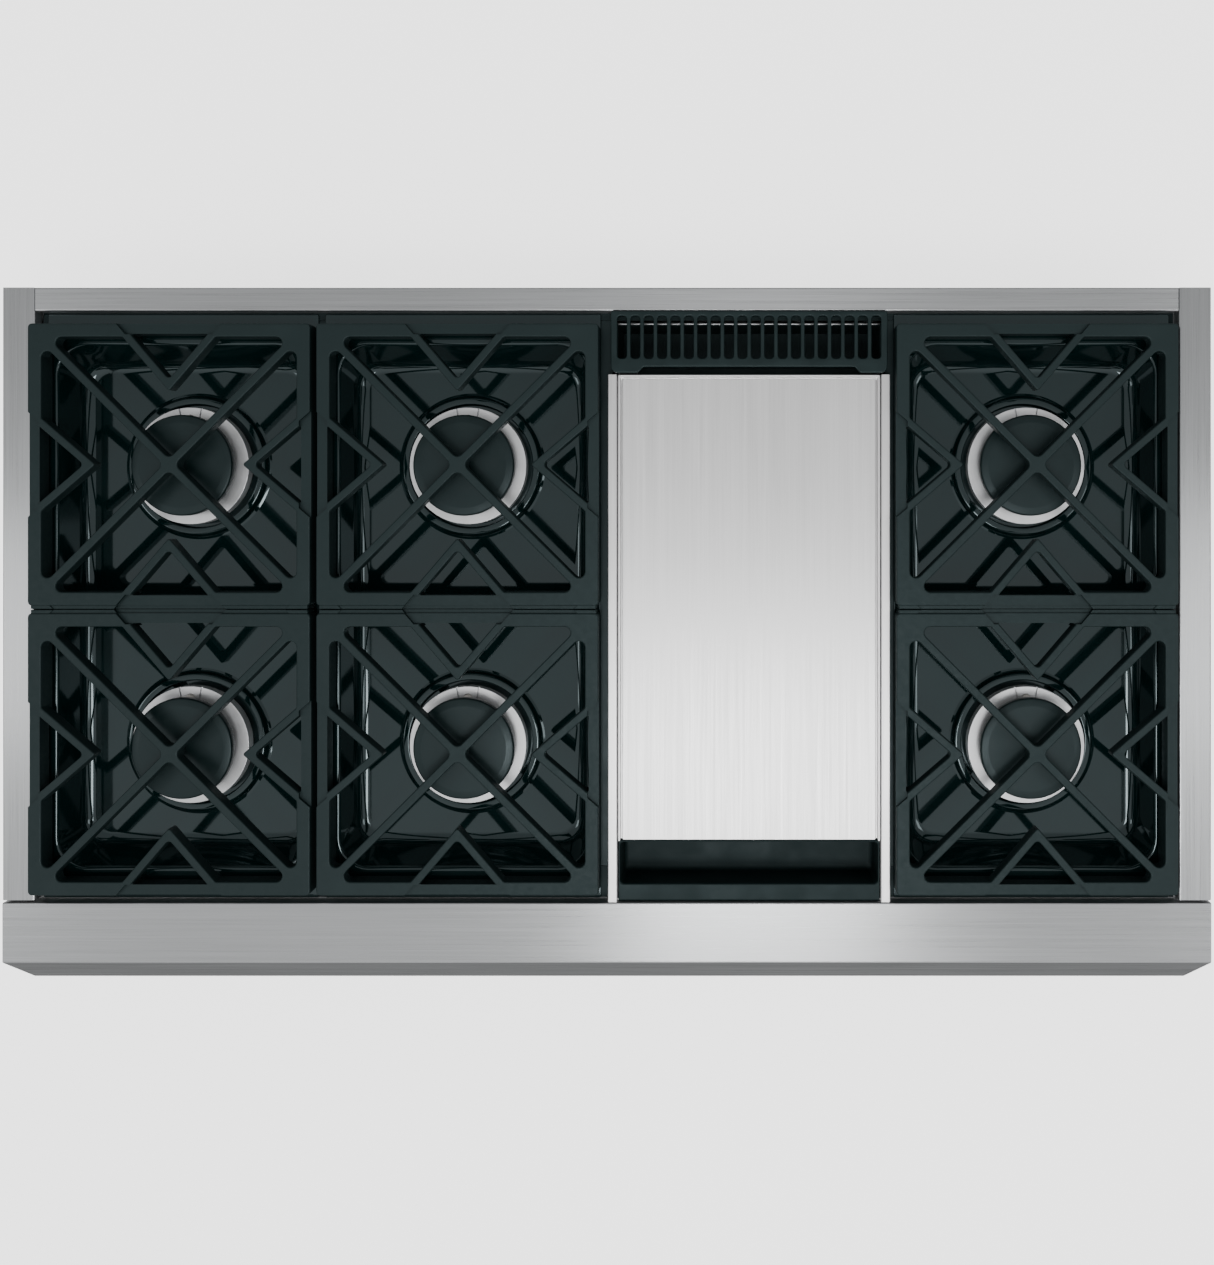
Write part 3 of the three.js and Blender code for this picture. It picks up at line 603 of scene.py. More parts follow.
def grate_mesh():
    """A square plate with windows that leave a frame, a crossing and four V fingers. The rear
    side, with a dip in its middle, carries a lower lip that meets the next grate's."""
    low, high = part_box("grate_front_left")
    spot = middle("burner_cap_front_left")
    half = spot.x - low.x
    lip = high.y - spot.y
    window = half - 13.5 * MM
    recess_inner = half - 10 * MM
    frame_low = low.z + 5.7 * MM
    lip_top = high.z - 2.2 * MM
    arm_side = 8.3 * MM / math.sqrt(2)
    v_tip = 73 * MM
    v_notch = 85 * MM
    slope = 58 * MM / (half - v_tip)
    edge = 1.5 * MM

    def outer(y):
        return (y - v_tip) * slope

    def inner(y):
        return (y - v_notch) * slope

    def wedge(y):
        return (outer(y) + inner(y)) / 2

    def plate(bm):
        prism(bm, rectangle(-half, half, -half, half, 4 * MM), frame_low, high.z, edge, steps=4)

    def round_window(k):
        points = [
            (0, arm_side, 6 * MM),
            (window - arm_side, window, 6 * MM),
            (outer(window), window, 3 * MM),
            (0, v_tip, 2.4 * MM),
            (-outer(window), window, 3 * MM),
            (arm_side - window, window, 6 * MM),
        ]
        outline = turned_quarter(rounded(points), k)
        return lambda bm: flared(bm, outline, low.z - edge, high.z, edge)

    def v_window(k):
        points = [
            (0, v_notch, 4 * MM),
            (inner(recess_inner), recess_inner, 1 * MM),
            (-inner(recess_inner), recess_inner, 1 * MM),
        ]
        outline = turned_quarter(rounded(points), k)
        return lambda bm: flared(bm, outline, low.z - 2 * edge, high.z, edge)

    def dip(k, start, level):
        points = [(wedge(start), start), (wedge(lip + edge), lip + edge)]
        points += [(-x, y) for x, y in points[::-1]]
        outline = turned_quarter([Vector(p) for p in points], k)
        return lambda bm: prism(bm, outline, level, 2 * high.z - level)

    def underside(bm):
        prism(bm, rectangle(-window, window, -window, window), low.z - edge / 2, high.z - 14 * MM)

    def lip_bar(bm):
        end = half - 2.5 * MM
        bar = rectangle(-end, end, half - 3 * MM, lip, 1 * MM)
        prism(bm, bar, frame_low + 0.4 * MM, lip_top, 0.6 * MM)

    def lip_pad(way):
        end = half - 2.8 * MM
        front = lip - 0.2 * MM
        points = [
            (way * (end - 22 * MM), front),
            (way * (end - 17 * MM), half - 2 * MM),
            (way * end, half - 2 * MM),
            (way * end, front),
        ]
        outline = [Vector(p) for p in points]
        return lambda bm: prism(bm, outline, frame_low + 1 * MM, lip_top + 1.2 * MM, 0.6 * MM)

    def foot(k):
        near = window + 1.25 * MM
        outline = turned_quarter(rectangle(near, near + 11 * MM, near, near + 11 * MM), k)
        return lambda bm: prism(bm, outline, low.z, frame_low + 3 * MM, 0.8 * MM)

    builds = [plate, lip_bar, lip_pad(-1), lip_pad(1)]
    cuts = [underside, dip(0, half - 0.3 * MM, lip_top - 4 * MM)]
    for k in range(4):
        builds.append(foot(k))
        cuts += [round_window(k), v_window(k), dip(k, recess_inner - 1 * MM, high.z - 4 * MM)]
    return combined("grate", builds, cuts)


def turned_quarter(points, k):
    """Points turned about the origin by k quarter turns."""
    for _ in range(k):
        points = [Vector((-p.y, p.x)) for p in points]
    return [Vector((p.x, p.y)) for p in points]


def make_grates():
    mesh = grate_mesh()
    for burner in BURNERS:
        node = "grate_" + burner
        at = burner_place(burner)
        piece = add_piece("cast_" + node, mesh, iron, node, at, [node])
        if burner.startswith("rear"):
            piece.rotation_euler.z = math.pi


# ---- burners ----

def cap_mesh():
    low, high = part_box("burner_cap_front_left")
    radius = (high.x - low.x) / 2
    points = [
        (0, low.z),
        (radius - 2.2 * MM, low.z, 0.6 * MM),
        (radius, low.z + 2.4 * MM, 1.5 * MM),
        (radius, high.z - 1.4 * MM, 2.2 * MM),
        (radius - 8 * MM, high.z - 0.4 * MM, 4 * MM),
        (0, high.z),
    ]
    return turned("cap", points, 96)


def head_mesh():
    """The bright ring with its skirt, and above it the neck with a slot for each port."""
    low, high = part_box("burner_head_front_left")
    ring = (high.x - low.x) / 2
    ring_top = high.z - 9 * MM
    seat = PAN_FLOOR + 0.3 * MM
    neck = 43.5 * MM
    ports = 36

    def ring_body(bm):
        points = [
            (0, seat),
            (ring - 4 * MM, seat, 0.6 * MM),
            (ring, PAN_FLOOR + 10 * MM, 2 * MM),
            (ring, ring_top, 0.7 * MM),
            (neck + 1 * MM, ring_top, 0.8 * MM),
            (neck - 1 * MM, ring_top + 1.5 * MM),
            (0, ring_top + 1.5 * MM),
        ]
        spin(bm, turned_profile(points), 96)

    def port_crown(bm):
        tooth = 2 * math.pi / ports
        root = neck - 5 * MM
        outline = []
        for k in range(ports):
            for share, radius in ((-0.28, neck), (0.28, neck), (0.34, root), (0.66, root)):
                angle = (k + share) * tooth
                outline.append((radius * math.cos(angle), radius * math.sin(angle)))
        prism(bm, outline, ring_top + 1 * MM, high.z - 1.5 * MM)

    def lid(bm):
        points = [(0, high.z - 2 * MM), (neck, high.z - 2 * MM), (neck, high.z), (0, high.z)]
        spin(bm, turned_profile(points), 96)

    def groove(way):
        """One of the two fine lines that mark off the part of the ring round the igniter."""
        angle = math.pi / 2 + way * math.radians(11)
        u = Vector((math.cos(angle), math.sin(angle)))
        n = Vector((-u.y, u.x)) * 0.8 * MM
        near = u * (neck + 2.5 * MM)
        far = u * (ring + 2 * MM)
        outline = [near - n, far - n, far + n, near + n]
        return lambda bm: prism(bm, outline, ring_top - 3 * MM, ring_top + 3 * MM)

    def igniter_hole(bm):
        centre = (0, IGNITER_OFFSET, 0)
        points = [(0, seat + 2 * MM), (4.5 * MM, seat + 2 * MM), (4.5 * MM, high.z), (0, high.z)]
        spin(bm, turned_profile(points), 24, centre)

    return combined(
        "head", [ring_body, port_crown, lid], [groove(-1), groove(1), igniter_hole], 40
    )


def igniter_mesh():
    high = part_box("igniter_front_left")[1]
    radius = 3.9 * MM
    points = [
        (0, PAN_FLOOR + 3 * MM),
        (radius, PAN_FLOOR + 3 * MM),
        (radius, high.z - 2.5 * MM, 1.2 * MM),
        (0.56 * radius, high.z - 1.6 * MM),
        (0.56 * radius, high.z, 0.6 * MM),
        (0, high.z),
    ]
    return turned("igniter", points, 24)


def make_burners():
    cap = cap_mesh()
    head = head_mesh()
    igniter = igniter_mesh()
    for burner in BURNERS:
        at = burner_place(burner)
        node = "burner_cap_" + burner
        add_piece("enamelled_" + node, cap, cap_enamel, node, at, [node])
        node = "burner_head_" + burner
        add_piece("ported_" + node, head, ring_metal, at=at, stands_for=[node])
        node = "igniter_" + burner
        at = burner_place(burner, IGNITER_OFFSET)
        add_piece("spark_" + node, igniter, ceramic, at=at, stands_for=[node])


# ---- pans ----

def rounded_ring(half_x, half_y, radius, z, centre_y, steps=8):
    outline = rectangle(-half_x, half_x, -half_y, half_y, radius, steps)
    return [Vector((p.x, p.y + centre_y, z)) for p in outline]


def pan_mesh():
    """A deep pan pressed from sheet: a flat rim, steep walls and a collar round each burner."""
    low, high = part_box("burner_pan_left")
    spot = middle("burner_pan_left")
    rim_x = (high.x - low.x) / 2
    rim_y = (high.y - low.y) / 2
    well_y = 29 * MM
    mouth_x = 125 * MM
    mouth_y = 265 * MM
    run_x = 5 * MM
    run_y = 12 * MM
    corner = 30 * MM
    floor = PAN_FLOOR
    lip = 3 * MM
    foot = 12 * MM
    arcs = 6

    def section(share, inwards, z, thickness=0.0):
        """A ring of the well: share of the wall's run, and how far in past it."""
        grow = thickness - inwards
        radius = corner - 0.6 * inwards - 4 * MM * share + thickness
        return rounded_ring(
            mouth_x - share * run_x + grow, mouth_y - share * run_y + grow, radius, z, well_y
        )

    def build(bm):
        outside = []
        for sin, cos in quarter_arc(arcs):
            outside.append(section(1, foot * (1 - sin), floor - SHEET + foot * (1 - cos), SHEET))
        outside.append(section(0, 0, high.z - SHEET - lip, SHEET))
        outside.append(section(0, -lip, high.z - SHEET, SHEET))
        edge = [
            rounded_ring(rim_x, rim_y, 2 * MM, high.z - SHEET, spot.y),
            rounded_ring(rim_x, rim_y, 2 * MM, high.z - 0.6 * MM, spot.y),
            rounded_ring(rim_x - 0.6 * MM, rim_y - 0.6 * MM, 2 * MM, high.z, spot.y),
        ]
        inside = []
        for sin, cos in quarter_arc(arcs):
            inside.append(section(0, -lip * (1 - sin), high.z - lip * (1 - cos)))
        for sin, cos in quarter_arc(arcs):
            inside.append(section(1, foot * (1 - cos), floor + foot * (1 - sin)))
        skin_rings(bm, outside + edge + inside)

    return mesh_of("pan", build, 60, True)


def collar_mesh():
    """The raised ring of a pan round a burner, with a soft foot that runs out into the floor."""
    top = PAN_FLOOR + 7.5 * MM
    points = [
        (63.5 * MM, PAN_FLOOR - 1 * MM),
        (78 * MM, PAN_FLOOR - 0.5 * MM),
        (73.5 * MM, PAN_FLOOR + 1.2 * MM, 3 * MM),
        (71.5 * MM, top, 2.5 * MM),
        (64.5 * MM, top, 1.5 * MM),
    ]
    section = [(p.x, p.y) for p in rounded(points)]
    return mesh_of("collar", lambda bm: ring_tube(bm, section), 60, False)


def make_pans():
    pan = pan_mesh()
    collar = collar_mesh()
    for bay in BAYS:
        node = "burner_pan_" + bay
        at = (middle(node).x, 0, 0)
        add_piece("pressed_" + node, pan, enamel, at=at, stands_for=[node])
    for burner in BURNERS:
        add_piece("pan_collar_" + burner, collar, enamel, at=burner_place(burner))


# ---- griddle ----

def pierced_plate(name, outline, holes, thickness, edge, place):
    """A flat plate with holes through it, its edges rounded on both faces. It is drawn in x and
    y, and place puts each of its points where it belongs."""
    curve = bpy.data.curves.new(name, "CURVE")
    curve.dimensions = "2D"
    curve.fill_mode = "BOTH"
    curve.extrude = thickness / 2 - edge
    curve.bevel_depth = edge
    curve.bevel_resolution = 2
    curve.offset = -edge
    for loop in [outline, *holes]:
        spline = curve.splines.new("POLY")
        spline.points.add(len(loop) - 1)
        for point, (x, y) in zip(spline.points, loop):
            point.co = (x, y, 0, 1)
        spline.use_cyclic_u = True
    helper = link(name, curve)
    flat = bpy.data.meshes.new_from_object(evaluated(helper))
    bpy.data.objects.remove(helper)
    bm = bmesh.new()
    bm.from_mesh(flat)
    for vert in bm.verts:
        vert.co = place(*vert.co)
    bmesh.ops.remove_doubles(bm, verts=bm.verts, dist=5e-6)
    return closed_mesh(name, bm, 32, True)


def griddle_plate_mesh():
    """The cooking slab, with a fine groove between it and the thin rim on three of its sides."""
    low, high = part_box("griddle_plate")
    gap = 0.7 * MM
    left = low.x + gap
    right = high.x - gap
    rear = high.y - gap
    cook = high.z - 5 * MM
    rim = 2 * MM
    groove = 1.8 * MM
    depth = 5 * MM

    def build(bm):
        prism(bm, rectangle(left, right, low.y, rear, 2 * MM), low.z, cook - depth, 0.8 * MM)
        inside = rim + groove
        slab = rectangle(left + inside, right - inside, low.y, rear - inside, 1.5 * MM)
        prism(bm, slab, cook - depth - 1 * MM, cook, 0.8 * MM)
        for x0, x1, y0, y1 in (
            (left, left + rim, low.y, rear),
            (right - rim, right, low.y, rear),
            (left, right, rear - rim, rear),
        ):
            wall = rectangle(x0, x1, y0, y1, 0.9 * MM)
            prism(bm, wall, cook - depth - 1 * MM, high.z, 0.8 * MM)

    return mesh_of("griddle_plate", build)


def vent_top_mesh():
    """The slotted top of the hood, its front edge set back between two lugs."""
    low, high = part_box("griddle_vent_cover")
    lug = 27 * MM
    recess = 6 * MM
    points = [
        (low.x, low.y, 7 * MM),
        (low.x + lug, low.y, 3 * MM),
        (low.x + lug + recess, low.y + recess, 2 * MM),
        (high.x - lug - recess, low.y + recess, 2 * MM),
        (high.x - lug, low.y, 3 * MM),
        (high.x, low.y, 7 * MM),
        (high.x, high.y, 2 * MM),
        (low.x, high.y, 2 * MM),
    ]
    outline = rounded(points)
    slots = 20
    pitch = 13.4 * MM
    half_width = 4.65 * MM
    slot_rear = high.y - 5 * MM
    slot_front = low.y + 14.5 * MM
    centre = (low.x + high.x) / 2
    holes = []
    for i in range(slots):
        x = centre + (i - (slots - 1) / 2) * pitch
        holes.append(rectangle(x - half_width, x + half_width, slot_front, slot_rear, 3.4 * MM))
    thickness = 3 * MM
    level = high.z - thickness / 2
    return pierced_plate(
        "vent_top", outline, holes, thickness, 1.2 * MM, lambda x, y, z: Vector((x, y, z + level))
    )


def vent_skirt_mesh():
    """The sides of the hood, just inside the edge of its top, with a web behind each lug."""
    low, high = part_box("griddle_vent_cover")
    set_in = 0.8 * MM
    wall = 2 * MM
    top = high.z - 1.6 * MM
    nook = 6 * MM
    lug = 25 * MM
    front = low.y + nook + set_in

    def build(bm):
        left = low.x + set_in
        right = high.x - set_in
        rear = high.y - set_in
        spans = [
            (left, left + wall, low.y + nook, rear),
            (right - wall, right, low.y + nook, rear),
            (left, right, rear - wall, rear),
            (left + nook, right - nook, front, front + wall),
            (left + nook, left + lug, low.y + set_in, low.y + nook),
            (right - lug, right - nook, low.y + set_in, low.y + nook),
        ]
        walls(bm, spans, low.z, top, 0.3 * MM)

    return mesh_of("vent_skirt", build)


def grease_tray_mesh():
    """A deep trough with a wide land in front that ends in a rolled lip."""
    low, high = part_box("grease_tray")
    wall = 2 * MM
    foot = 6 * MM
    front = low.y + 15.5 * MM
    centre = (low.x + high.x) / 2
    half = (high.x - low.x) / 2
    mouth_0 = front + wall
    mouth_1 = high.y - wall
    land = high.z - 3 * MM
    bottom = low.z + wall

    def ring(x, y0, y1, radius, z):
        outline = rectangle(centre - x, centre + x, y0, y1, radius, 5)
        return [Vector((p.x, p.y, z)) for p in outline]

    rings = [
        ring(half - 5 * MM, front + 5 * MM, high.y - 5 * MM, 6 * MM, low.z),
        ring(half, front, high.y, 6 * MM, low.z + foot),
        ring(half, front, high.y, 4 * MM, land),
        ring(half, low.y + 1 * MM, high.y, 1 * MM, land),
        ring(half, low.y, high.y, 1.5 * MM, land + 1 * MM),
        ring(half, low.y, high.y, 1.5 * MM, high.z - 1.2 * MM),
        ring(half - 0.4 * MM, low.y + 0.8 * MM, high.y - 0.4 * MM, 1 * MM, high.z - 0.2 * MM),
        ring(half - 0.8 * MM, low.y + 2 * MM, high.y - 0.8 * MM, 1 * MM, high.z),
        ring(half - 1.4 * MM, mouth_0 - 1.5 * MM, mouth_1 + 0.8 * MM, 3 * MM, high.z),
        ring(half - 1.8 * MM, mouth_0 - 0.4 * MM, mouth_1 + 0.2 * MM, 4 * MM, high.z - 0.5 * MM),
        ring(half - wall, mouth_0, mouth_1, 5 * MM, high.z - 2 * MM),
        ring(half - wall, mouth_0, mouth_1, 5 * MM, bottom + foot),
        ring(half - wall - 2 * MM, mouth_0 + 2 * MM, mouth_1 - 2 * MM, 5 * MM, bottom + 2 * MM),
        ring(half - wall - foot, mouth_0 + foot, mouth_1 - foot, 4 * MM, bottom),
    ]
    return mesh_of("grease_tray", lambda bm: skin_rings(bm, rings), 50)


def griddle_frame_mesh():
    """The tub that the griddle lies in: a folded flange with a hem down each side."""
    low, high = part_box("griddle_frame")
    plate_low, plate_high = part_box("griddle_plate")
    tub_rear = plate_high.y
    wall_out = 7.2 * MM
    hem = 15.5 * MM
    edge = 0.3 * MM
    centre = (low.x + high.x) / 2
    half = (high.x - low.x) / 2
    inner = half - wall_out

    def side(bm, way):
        path = [
            (-half, high.z - hem),
            (-half, high.z),
            (-half + wall_out + SHEET, high.z),
            (-half + wall_out + SHEET, low.z),
            (-30 * MM, low.z),
        ]
        skin = sheet_outline(path[::-1], SHEET, 1.2 * MM)
        outline = [(centre + way * p.x, p.y) for p in skin]
        prism(bm, outline, -tub_rear, -low.y, edge, along_y)

    def end(bm, y0, y1, top):
        prism(bm, rectangle(centre - inner, centre + inner, y0, y1), low.z, top, edge)

    def ledge(bm, way):
        level = plate_low.z - 0.3 * MM
        x0, x1 = sorted((way * (inner - SHEET), way * (inner - 12 * MM)))
        outline = rectangle(centre + x0, centre + x1, plate_low.y, tub_rear - SHEET)
        prism(bm, outline, level - SHEET, level, edge)

    def build(bm):
        side(bm, -1)
        side(bm, 1)
        end(bm, low.y, low.y + SHEET, high.z - 7.5 * MM)
        end(bm, tub_rear - SHEET, tub_rear, high.z - 15 * MM)
        ledge(bm, -1)
        ledge(bm, 1)

    return mesh_of("griddle_frame", build)


def flue_meshes():
    """The dark flue box behind the tub, and the bright folded edge along the top of its rear."""
    low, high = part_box("griddle_frame")
    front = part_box("griddle_plate")[1].y
    top = PAN_TOP - 4 * MM
    left = low.x + 6.5 * MM
    right = high.x - 6.5 * MM
    edge = 2.5 * MM

    def box(bm):
        for x0, x1, y0, y1, z1 in (
            (left, right, high.y - SHEET, high.y, top - edge),
            (left, left + SHEET, front, high.y, top),
            (right - SHEET, right, front, high.y, top),
            (left, right, front, high.y, low.z + SHEET),
        ):
            prism(bm, rectangle(x0, x1, y0, y1), low.z, z1, 0.3 * MM)

    def lip(bm):
        outline = rectangle(left + SHEET, right - SHEET, high.y - 1.6 * MM, high.y, 0.3 * MM)
        prism(bm, outline, top - edge, top, 0.4 * MM)

    return mesh_of("flue_box", box), mesh_of("flue_lip", lip)


def make_griddle():
    add_piece("griddle_slab", griddle_plate_mesh(), griddle_steel,
              "griddle_plate", stands_for=["griddle_plate"])
    add_piece("vent_top", vent_top_mesh(), satin_enamel,
              "griddle_vent_cover", stands_for=["griddle_vent_cover"])
    add_piece("vent_skirt", vent_skirt_mesh(), satin_enamel, "griddle_vent_cover")
    add_piece("grease_trough", grease_tray_mesh(), tray_enamel,
              "grease_tray", stands_for=["grease_tray"])
    add_piece("griddle_tub", griddle_frame_mesh(), griddle_steel,
              stands_for=["griddle_frame"])
    box, lip = flue_meshes()
    add_piece("flue_box", box, tray_enamel)
    add_piece("flue_lip", lip, steel_x)


# ---- trims ----

def side_trim_mesh(node, way):
    """A channel over the side wall, with a closed rear end. way is -1 for the left side."""
    low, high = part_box(node)
    outer = high.x if way > 0 else low.x
    inner = low.x if way > 0 else high.x

    def build(bm):
        path = [(outer, low.z), (outer, high.z), (inner, high.z), (inner, TRIM_FOOT)]
        if way < 0:
            path = path[::-1]
        outline = sheet_outline(path, TRIM_SHEET)
        prism(bm, outline, -high.y, -low.y, 0.4 * MM, along_y)
        edges = sorted((outer - way * 0.5 * MM, inner + way * 0.5 * MM))
        plate = rectangle(*edges, low.z, high.z - 0.6 * MM, 1 * MM)
        prism(bm, plate, -high.y + 0.1 * MM, -high.y + TRIM_SHEET, 0.3 * MM, along_y)

    return mesh_of(node + "_skin", build)


def rear_trim_mesh():
    low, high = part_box("rear_trim")

    def build(bm):
        path = [(high.y, low.z), (high.y, high.z), (low.y, high.z), (low.y, TRIM_FOOT)]
        prism(bm, sheet_outline(path, TRIM_SHEET), low.x, high.x, 0.3 * MM, along_x)

    return mesh_of("rear_trim_skin", build)


def bullnose_mesh():
    """The front rail, with a 45 degree bevel, and both front corners cut off at an angle."""
    low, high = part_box("bullnose")
    bevel = 23 * MM
    corner = 20 * MM
    lip_rear = -303 * MM
    fold = low.y + bevel
    points = [
        (high.y, TRIM_FOOT, 0.5 * MM),
        (high.y, high.z, 1.6 * MM),
        (fold, high.z, 3 * MM),
        (low.y, high.z - bevel, 3 * MM),
        (low.y, low.z, 1.5 * MM),
        (lip_rear, low.z, 0.5 * MM),
        (lip_rear, TRIM_FOOT, 0.5 * MM),
    ]

    def rail(bm):
        prism(bm, rounded(points), low.x, high.x, 0.4 * MM, along_x)

    def corner_block(way):
        run = bevel / corner
        outline = [
            (way * (high.x - 2 * corner), fold - 2 * corner * run),
            (way * (high.x + corner), fold - 2 * corner * run),
            (way * (high.x + corner), fold + corner * run),
        ]
        return lambda bm: prism(bm, outline, 0, 1.5 * high.z)

    def end_plate(way):
        """Closes the end of the rail down to its lower edge, just outside the box's side."""
        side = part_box("burner_box")[1].x + 0.3 * MM
        ends = sorted((way * side, way * high.x))
        outline = rectangle(lip_rear - 1 * MM, high.y, low.z, TRIM_FOOT + 1 * MM, 1 * MM)
        return lambda bm: prism(bm, outline, *ends, 0.4 * MM, along_x)

    builds = [rail, end_plate(-1), end_plate(1)]
    return combined("bullnose_skin", builds, [corner_block(-1), corner_block(1)], 25)


def control_panel_mesh():
    low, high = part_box("control_panel")
    hole = 6 * MM
    holes = []
    for knob in KNOBS:
        spot = middle("valve_stem_" + knob)
        holes.append([(spot.x + hole * x, spot.z + hole * y) for x, y in circle(24)])
    level = low.y + SHEET / 2
    return pierced_plate(
        "control_panel_face",
        rectangle(low.x, high.x, low.z, high.z, 1.5 * MM),
        holes,
        SHEET,
        0.6 * MM,
        lambda x, y, z: Vector((x, level - z, y)),
    )


def panel_returns_mesh():
    """The folded edges of the panel, behind its face."""
    low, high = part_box("control_panel")
    x0 = low.x + 0.3 * MM
    x1 = high.x - 0.3 * MM
    z0 = low.z + 0.3 * MM
    z1 = high.z - 0.3 * MM
    spans = [
        (x0, x1, z0, low.z + SHEET),
        (x0, x1, high.z - SHEET, z1),
        (x0, low.x + SHEET, z0, z1),
        (high.x - SHEET, x1, z0, z1),
    ]
    rear = -high.y
    front = -low.y - SHEET / 2
    return mesh_of(
        "panel_returns", lambda bm: walls(bm, spans, rear, front, 0.2 * MM, along_y)
    )


def make_trims():
    for node, way in (("left_side_trim", -1), ("right_side_trim", 1)):
        add_piece(node + "_skin", side_trim_mesh(node, way), steel_y,
                  stands_for=[node])
    add_piece("rear_trim_skin", rear_trim_mesh(), steel_x, stands_for=["rear_trim"])
    add_piece("bullnose_skin", bullnose_mesh(), steel_x, stands_for=["bullnose"])
    add_piece("control_panel_face", control_panel_mesh(), steel_x,
              stands_for=["control_panel"])
    add_piece("panel_returns", panel_returns_mesh(), steel_x)


# ---- knobs ----

def knob_meshes():
    """The metal grip, its dark skirt and the pointer, drawn about the knob's axis."""
    low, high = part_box("knob_griddle")
    back = -high.y
    face = back + (high.y - low.y)
    grip = 22 * MM
    skirt = 26.8 * MM
    body_points = [
        (0, back + 3 * MM),
        (grip + 1.3 * MM, back + 3 * MM, 0.3 * MM),
        (grip + 1.3 * MM, back + 7 * MM, 0.6 * MM),
        (grip, back + 8.5 * MM, 0.8 * MM),
        (grip - 1.4 * MM, face - 5 * MM, 1 * MM),
        (grip - 3.2 * MM, face - 1.2 * MM, 1.5 * MM),
        (grip - 6 * MM, face - 1.2 * MM, 1 * MM),
        (grip - 7 * MM, face - 2 * MM, 1 * MM),
        (0, face - 2 * MM),
    ]
    skirt_points = [
        (0, back),
        (skirt, back, 0.5 * MM),
        (skirt, back + 3.2 * MM, 1.2 * MM),
        (grip + 1 * MM, back + 4.4 * MM, 1 * MM),
        (0, back + 4.4 * MM),
    ]
    mark = rectangle(-1.3 * MM, 1.3 * MM, 4 * MM, 19 * MM, 1.1 * MM)
    return (
        turned("knob_body", body_points, 72, 45, along_y),
        turned("knob_skirt", skirt_points, 72, 45, along_y),
        mesh_of("knob_pointer", lambda bm: prism(bm, mark, face - 4 * MM, face, 0.5 * MM, along_y)),
    )


def bezel_mesh():
    """A slim ring on the panel round a knob."""
    face = -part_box("control_panel")[0].y
    profile = [(28.2, 0.0), (31.6, 0.0), (31.2, 0.9), (30.2, 1.3), (28.8, 1.2), (28.3, 0.8)]
    section = [(radius * MM, face + height * MM) for radius, height in profile]
    return mesh_of("bezel", lambda bm: ring_tube(bm, section, place=along_y), 50, False)


def mark_mesh():
    """Nine marks of growing length on the panel, over the knob's turn."""
    face = -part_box("control_panel")[0].y
    count = 9
    sweep = 250
    near = 33.6 * MM
    half = 0.5 * MM

    def build(bm):
        for k in range(count):
            angle = math.radians(90 + sweep * k / (count - 1))
            u = Vector((math.cos(angle), math.sin(angle)))
            n = Vector((-u.y, u.x)) * half
            far = near + (1.5 + 0.45 * k) * MM
            outline = [u * near - n, u * far - n, u * far + n, u * near + n]
            prism(bm, outline, face - 0.1 * MM, face + 0.15 * MM, 0, along_y)

    return mesh_of("mark", build)


def make_knobs():
    body, skirt, pointer = knob_meshes()
    bezel = bezel_mesh()
    mark = mark_mesh()
    for knob in KNOBS:
        node = "knob_" + knob
        spot = middle("valve_stem_" + knob)
        at = (spot.x, 0, spot.z)
        add_piece(node + "_grip", body, knob_metal, node, at, [node])
        add_piece(node + "_skirt", skirt, black_plastic, node, at)
        add_piece(node + "_pointer", pointer, black_plastic, node, at)
        add_piece(node + "_bezel", bezel, knob_metal, at=at)
        add_piece(node + "_marks", mark, black_plastic, at=at)


# ---- hidden nodes and the studio ----

def make_ledge_shade():
    """Thin black sheets over the galvanised ledges of the box, where they show round the pans:
    painted shade that darkens the gaps there.
    """
    thickness = 0.4 * MM
    gap = 0.3 * MM
    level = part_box("burner_box")[1].z
    tub_low, tub_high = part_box("griddle_frame")
    divider_low, divider_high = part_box("bay_divider_left")
    trim_low, trim_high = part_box("rear_trim")
    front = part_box("burner_pan_left")[0].y
    rear = trim_low.y + 2 * MM
    left = trim_low.x
    pans_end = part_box("burner_pan_right")[1].x + gap
    right = trim_high.x
    for name, x0, x1, y0, y1 in (
        ("rear", left, pans_end, divider_high.y + gap, rear),
        ("right", pans_end, right, front, rear),
        ("front_left", left, tub_low.x - gap, front, divider_low.y - gap),
        ("front_right", tub_high.x + gap, pans_end, front, divider_low.y - gap),
    ):
        outline = rectangle(x0, x1, y0, y1)
        mesh = mesh_of("ledge", lambda bm: prism(bm, outline, level, level + thickness))
        # painted shade: a black sheet that makes the gap round the pans read dark
        add_piece("ledge_" + name, mesh, tray_enamel)


def dress_cad_nodes():
    """The CAD nodes that stay get a finish of their own."""
    finishes = {
        "burner_box": galvanised,
        "bottom_cover": galvanised,
        # painted shade: the bay dividers are dressed black so that they read dark where they show
        # in the gaps round the pans
        "bay_divider": satin_enamel,
        "griddle_burner": cast_aluminium,
        "gas_manifold": brass,
        "pressure_regulator": cast_aluminium,
        "spark_module": black_plastic,
        "power_inlet": black_plastic,
        "valve_stem": cast_aluminium,
    }
    for name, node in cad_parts.items():
        for start, material in finishes.items():
            if name.startswith(start):
                node.data.materials.clear()
                node.data.materials.append(material)


def add_light(name, size, at, aim, power):
    light = bpy.data.lights.new(name, "AREA")
    light.shape = "RECTANGLE"
    light.size, light.size_y = size
    light.energy = power
    lamp = link(name, light)
    lamp.location = at
    lamp.rotation_euler = (Vector(aim) - Vector(at)).to_track_quat("-Z", "Y").to_euler()


def floor_sheet(bm):
    reach = 12.0
    level = cad_low.z - 0.5 * MM
    corners = [(-reach, -reach), (reach, -reach), (reach, reach), (-reach, reach)]
    bm.faces.new([bm.verts.new((x, y, level)) for x, y in corners])


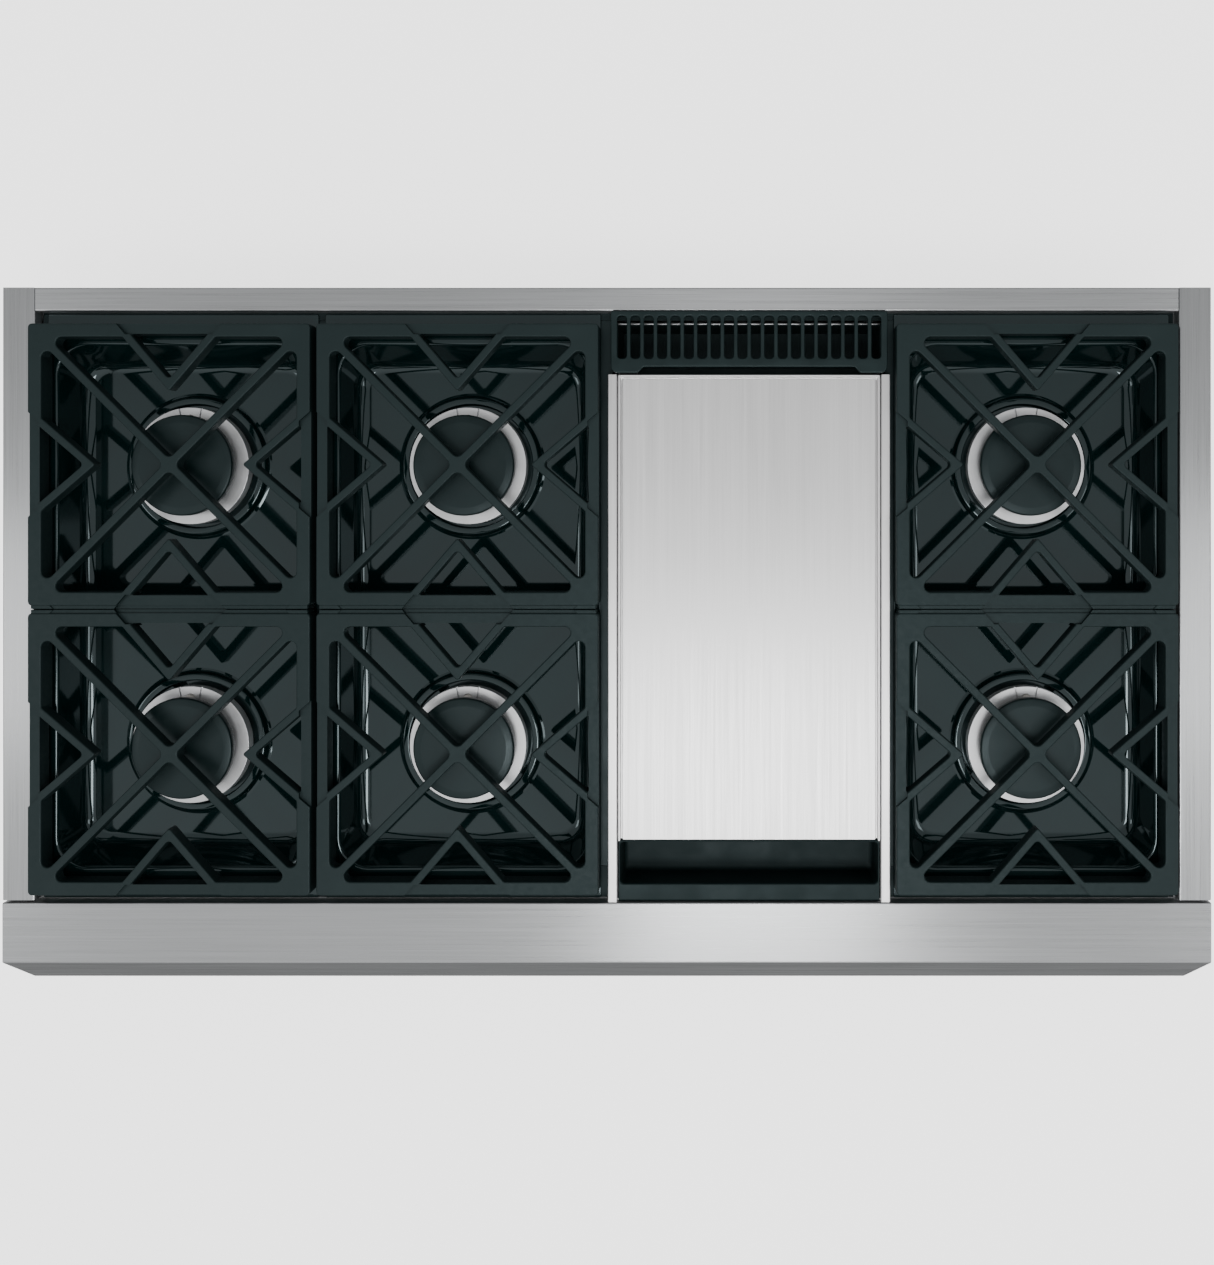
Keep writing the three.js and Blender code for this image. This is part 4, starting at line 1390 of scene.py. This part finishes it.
def make_studio():
    """A plain pale backdrop, a soft sky that is brighter overhead and towards the front, three
    soft lamps, and a pale floor that gives off light but doesn't show in reflections."""
    world = bpy.data.worlds.new("studio")
    world.use_nodes = True
    tree = world.node_tree
    tree.nodes.clear()
    coords = add_node(tree, "TexCoord")
    way = add_node(tree, "SeparateXYZ", {"Vector": coords.outputs["Generated"]})
    overhead = spread(tree, way.outputs["Z"], 0.42, 0.75, 0.0, 0.6)
    lean = add_node(
        tree, "Math", {0: way.outputs["Y"], 1: way.outputs["Z"]}, operation="MULTIPLY"
    ).outputs[0]
    frontward = spread(tree, lean, 0.35, -0.12, -0.35, 0.15)
    soft = add_node(tree, "Background", {"Strength": plus(tree, overhead, frontward)})
    backdrop = add_node(tree, "Background", {"Strength": 2.0})
    seen = add_node(tree, "LightPath").outputs["Is Camera Ray"]
    both = add_node(tree, "MixShader", {0: seen, 1: soft.outputs[0], 2: backdrop.outputs[0]})
    add_node(tree, "OutputWorld", {"Surface": both.outputs[0]})
    for background in (soft, backdrop):
        background.inputs["Color"].default_value = (1, 1, 1, 1)
    bpy.context.scene.world = world

    material, tree = new_tree("floor_paint")
    cloud = noise(tree, object_coords(tree), 3.0, 2.0)
    shaded(
        material,
        Base_Color=tinted(tree, (0.90, 0.90, 0.90), (0.93, 0.93, 0.93), cloud),
        Roughness=0.8,
        Emission_Color=(1, 1, 1, 1),
        Emission_Strength=1.9,
    )
    floor = link("floor", mesh_of("floor", floor_sheet))
    floor.data.materials.append(material)
    floor.visible_glossy = False

    high = 2.4
    add_light("key", (0.7, 0.6), (0.17, -0.65, high), (0.1, -0.1, TOP), 16)
    add_light("soft_left", (0.7, 0.7), (-2.25, -0.27, high), (-0.5, -0.2, TOP), 5.5)
    add_light("soft_right", (0.7, 0.7), (1.8, -0.27, high), (0.5, -0.2, TOP), 5.5)


def make_camera():
    """Straight down on the rangetop. The lens stands right of and behind the middle, and the
    frame is shifted back onto the object."""
    above = 1.168
    across = 0.1312
    back = 0.1374
    frame_centre = (0.0016, 0.0054)
    wide = 36.0
    long_side = 1265
    pixels_per_metre = 1005.6
    camera = bpy.data.cameras.new("camera")
    camera.sensor_width = wide
    camera.lens = wide * pixels_per_metre * above / long_side
    camera.shift_x = (frame_centre[0] - across) * pixels_per_metre / long_side
    camera.shift_y = (frame_centre[1] - back) * pixels_per_metre / long_side
    holder = link("camera", camera)
    holder.location = (across, back, TOP + above)
    bpy.context.scene.camera = holder


make_camera()
make_grates()
make_burners()
make_pans()
make_griddle()
make_trims()
make_knobs()
make_ledge_shade()
dress_cad_nodes()
make_studio()
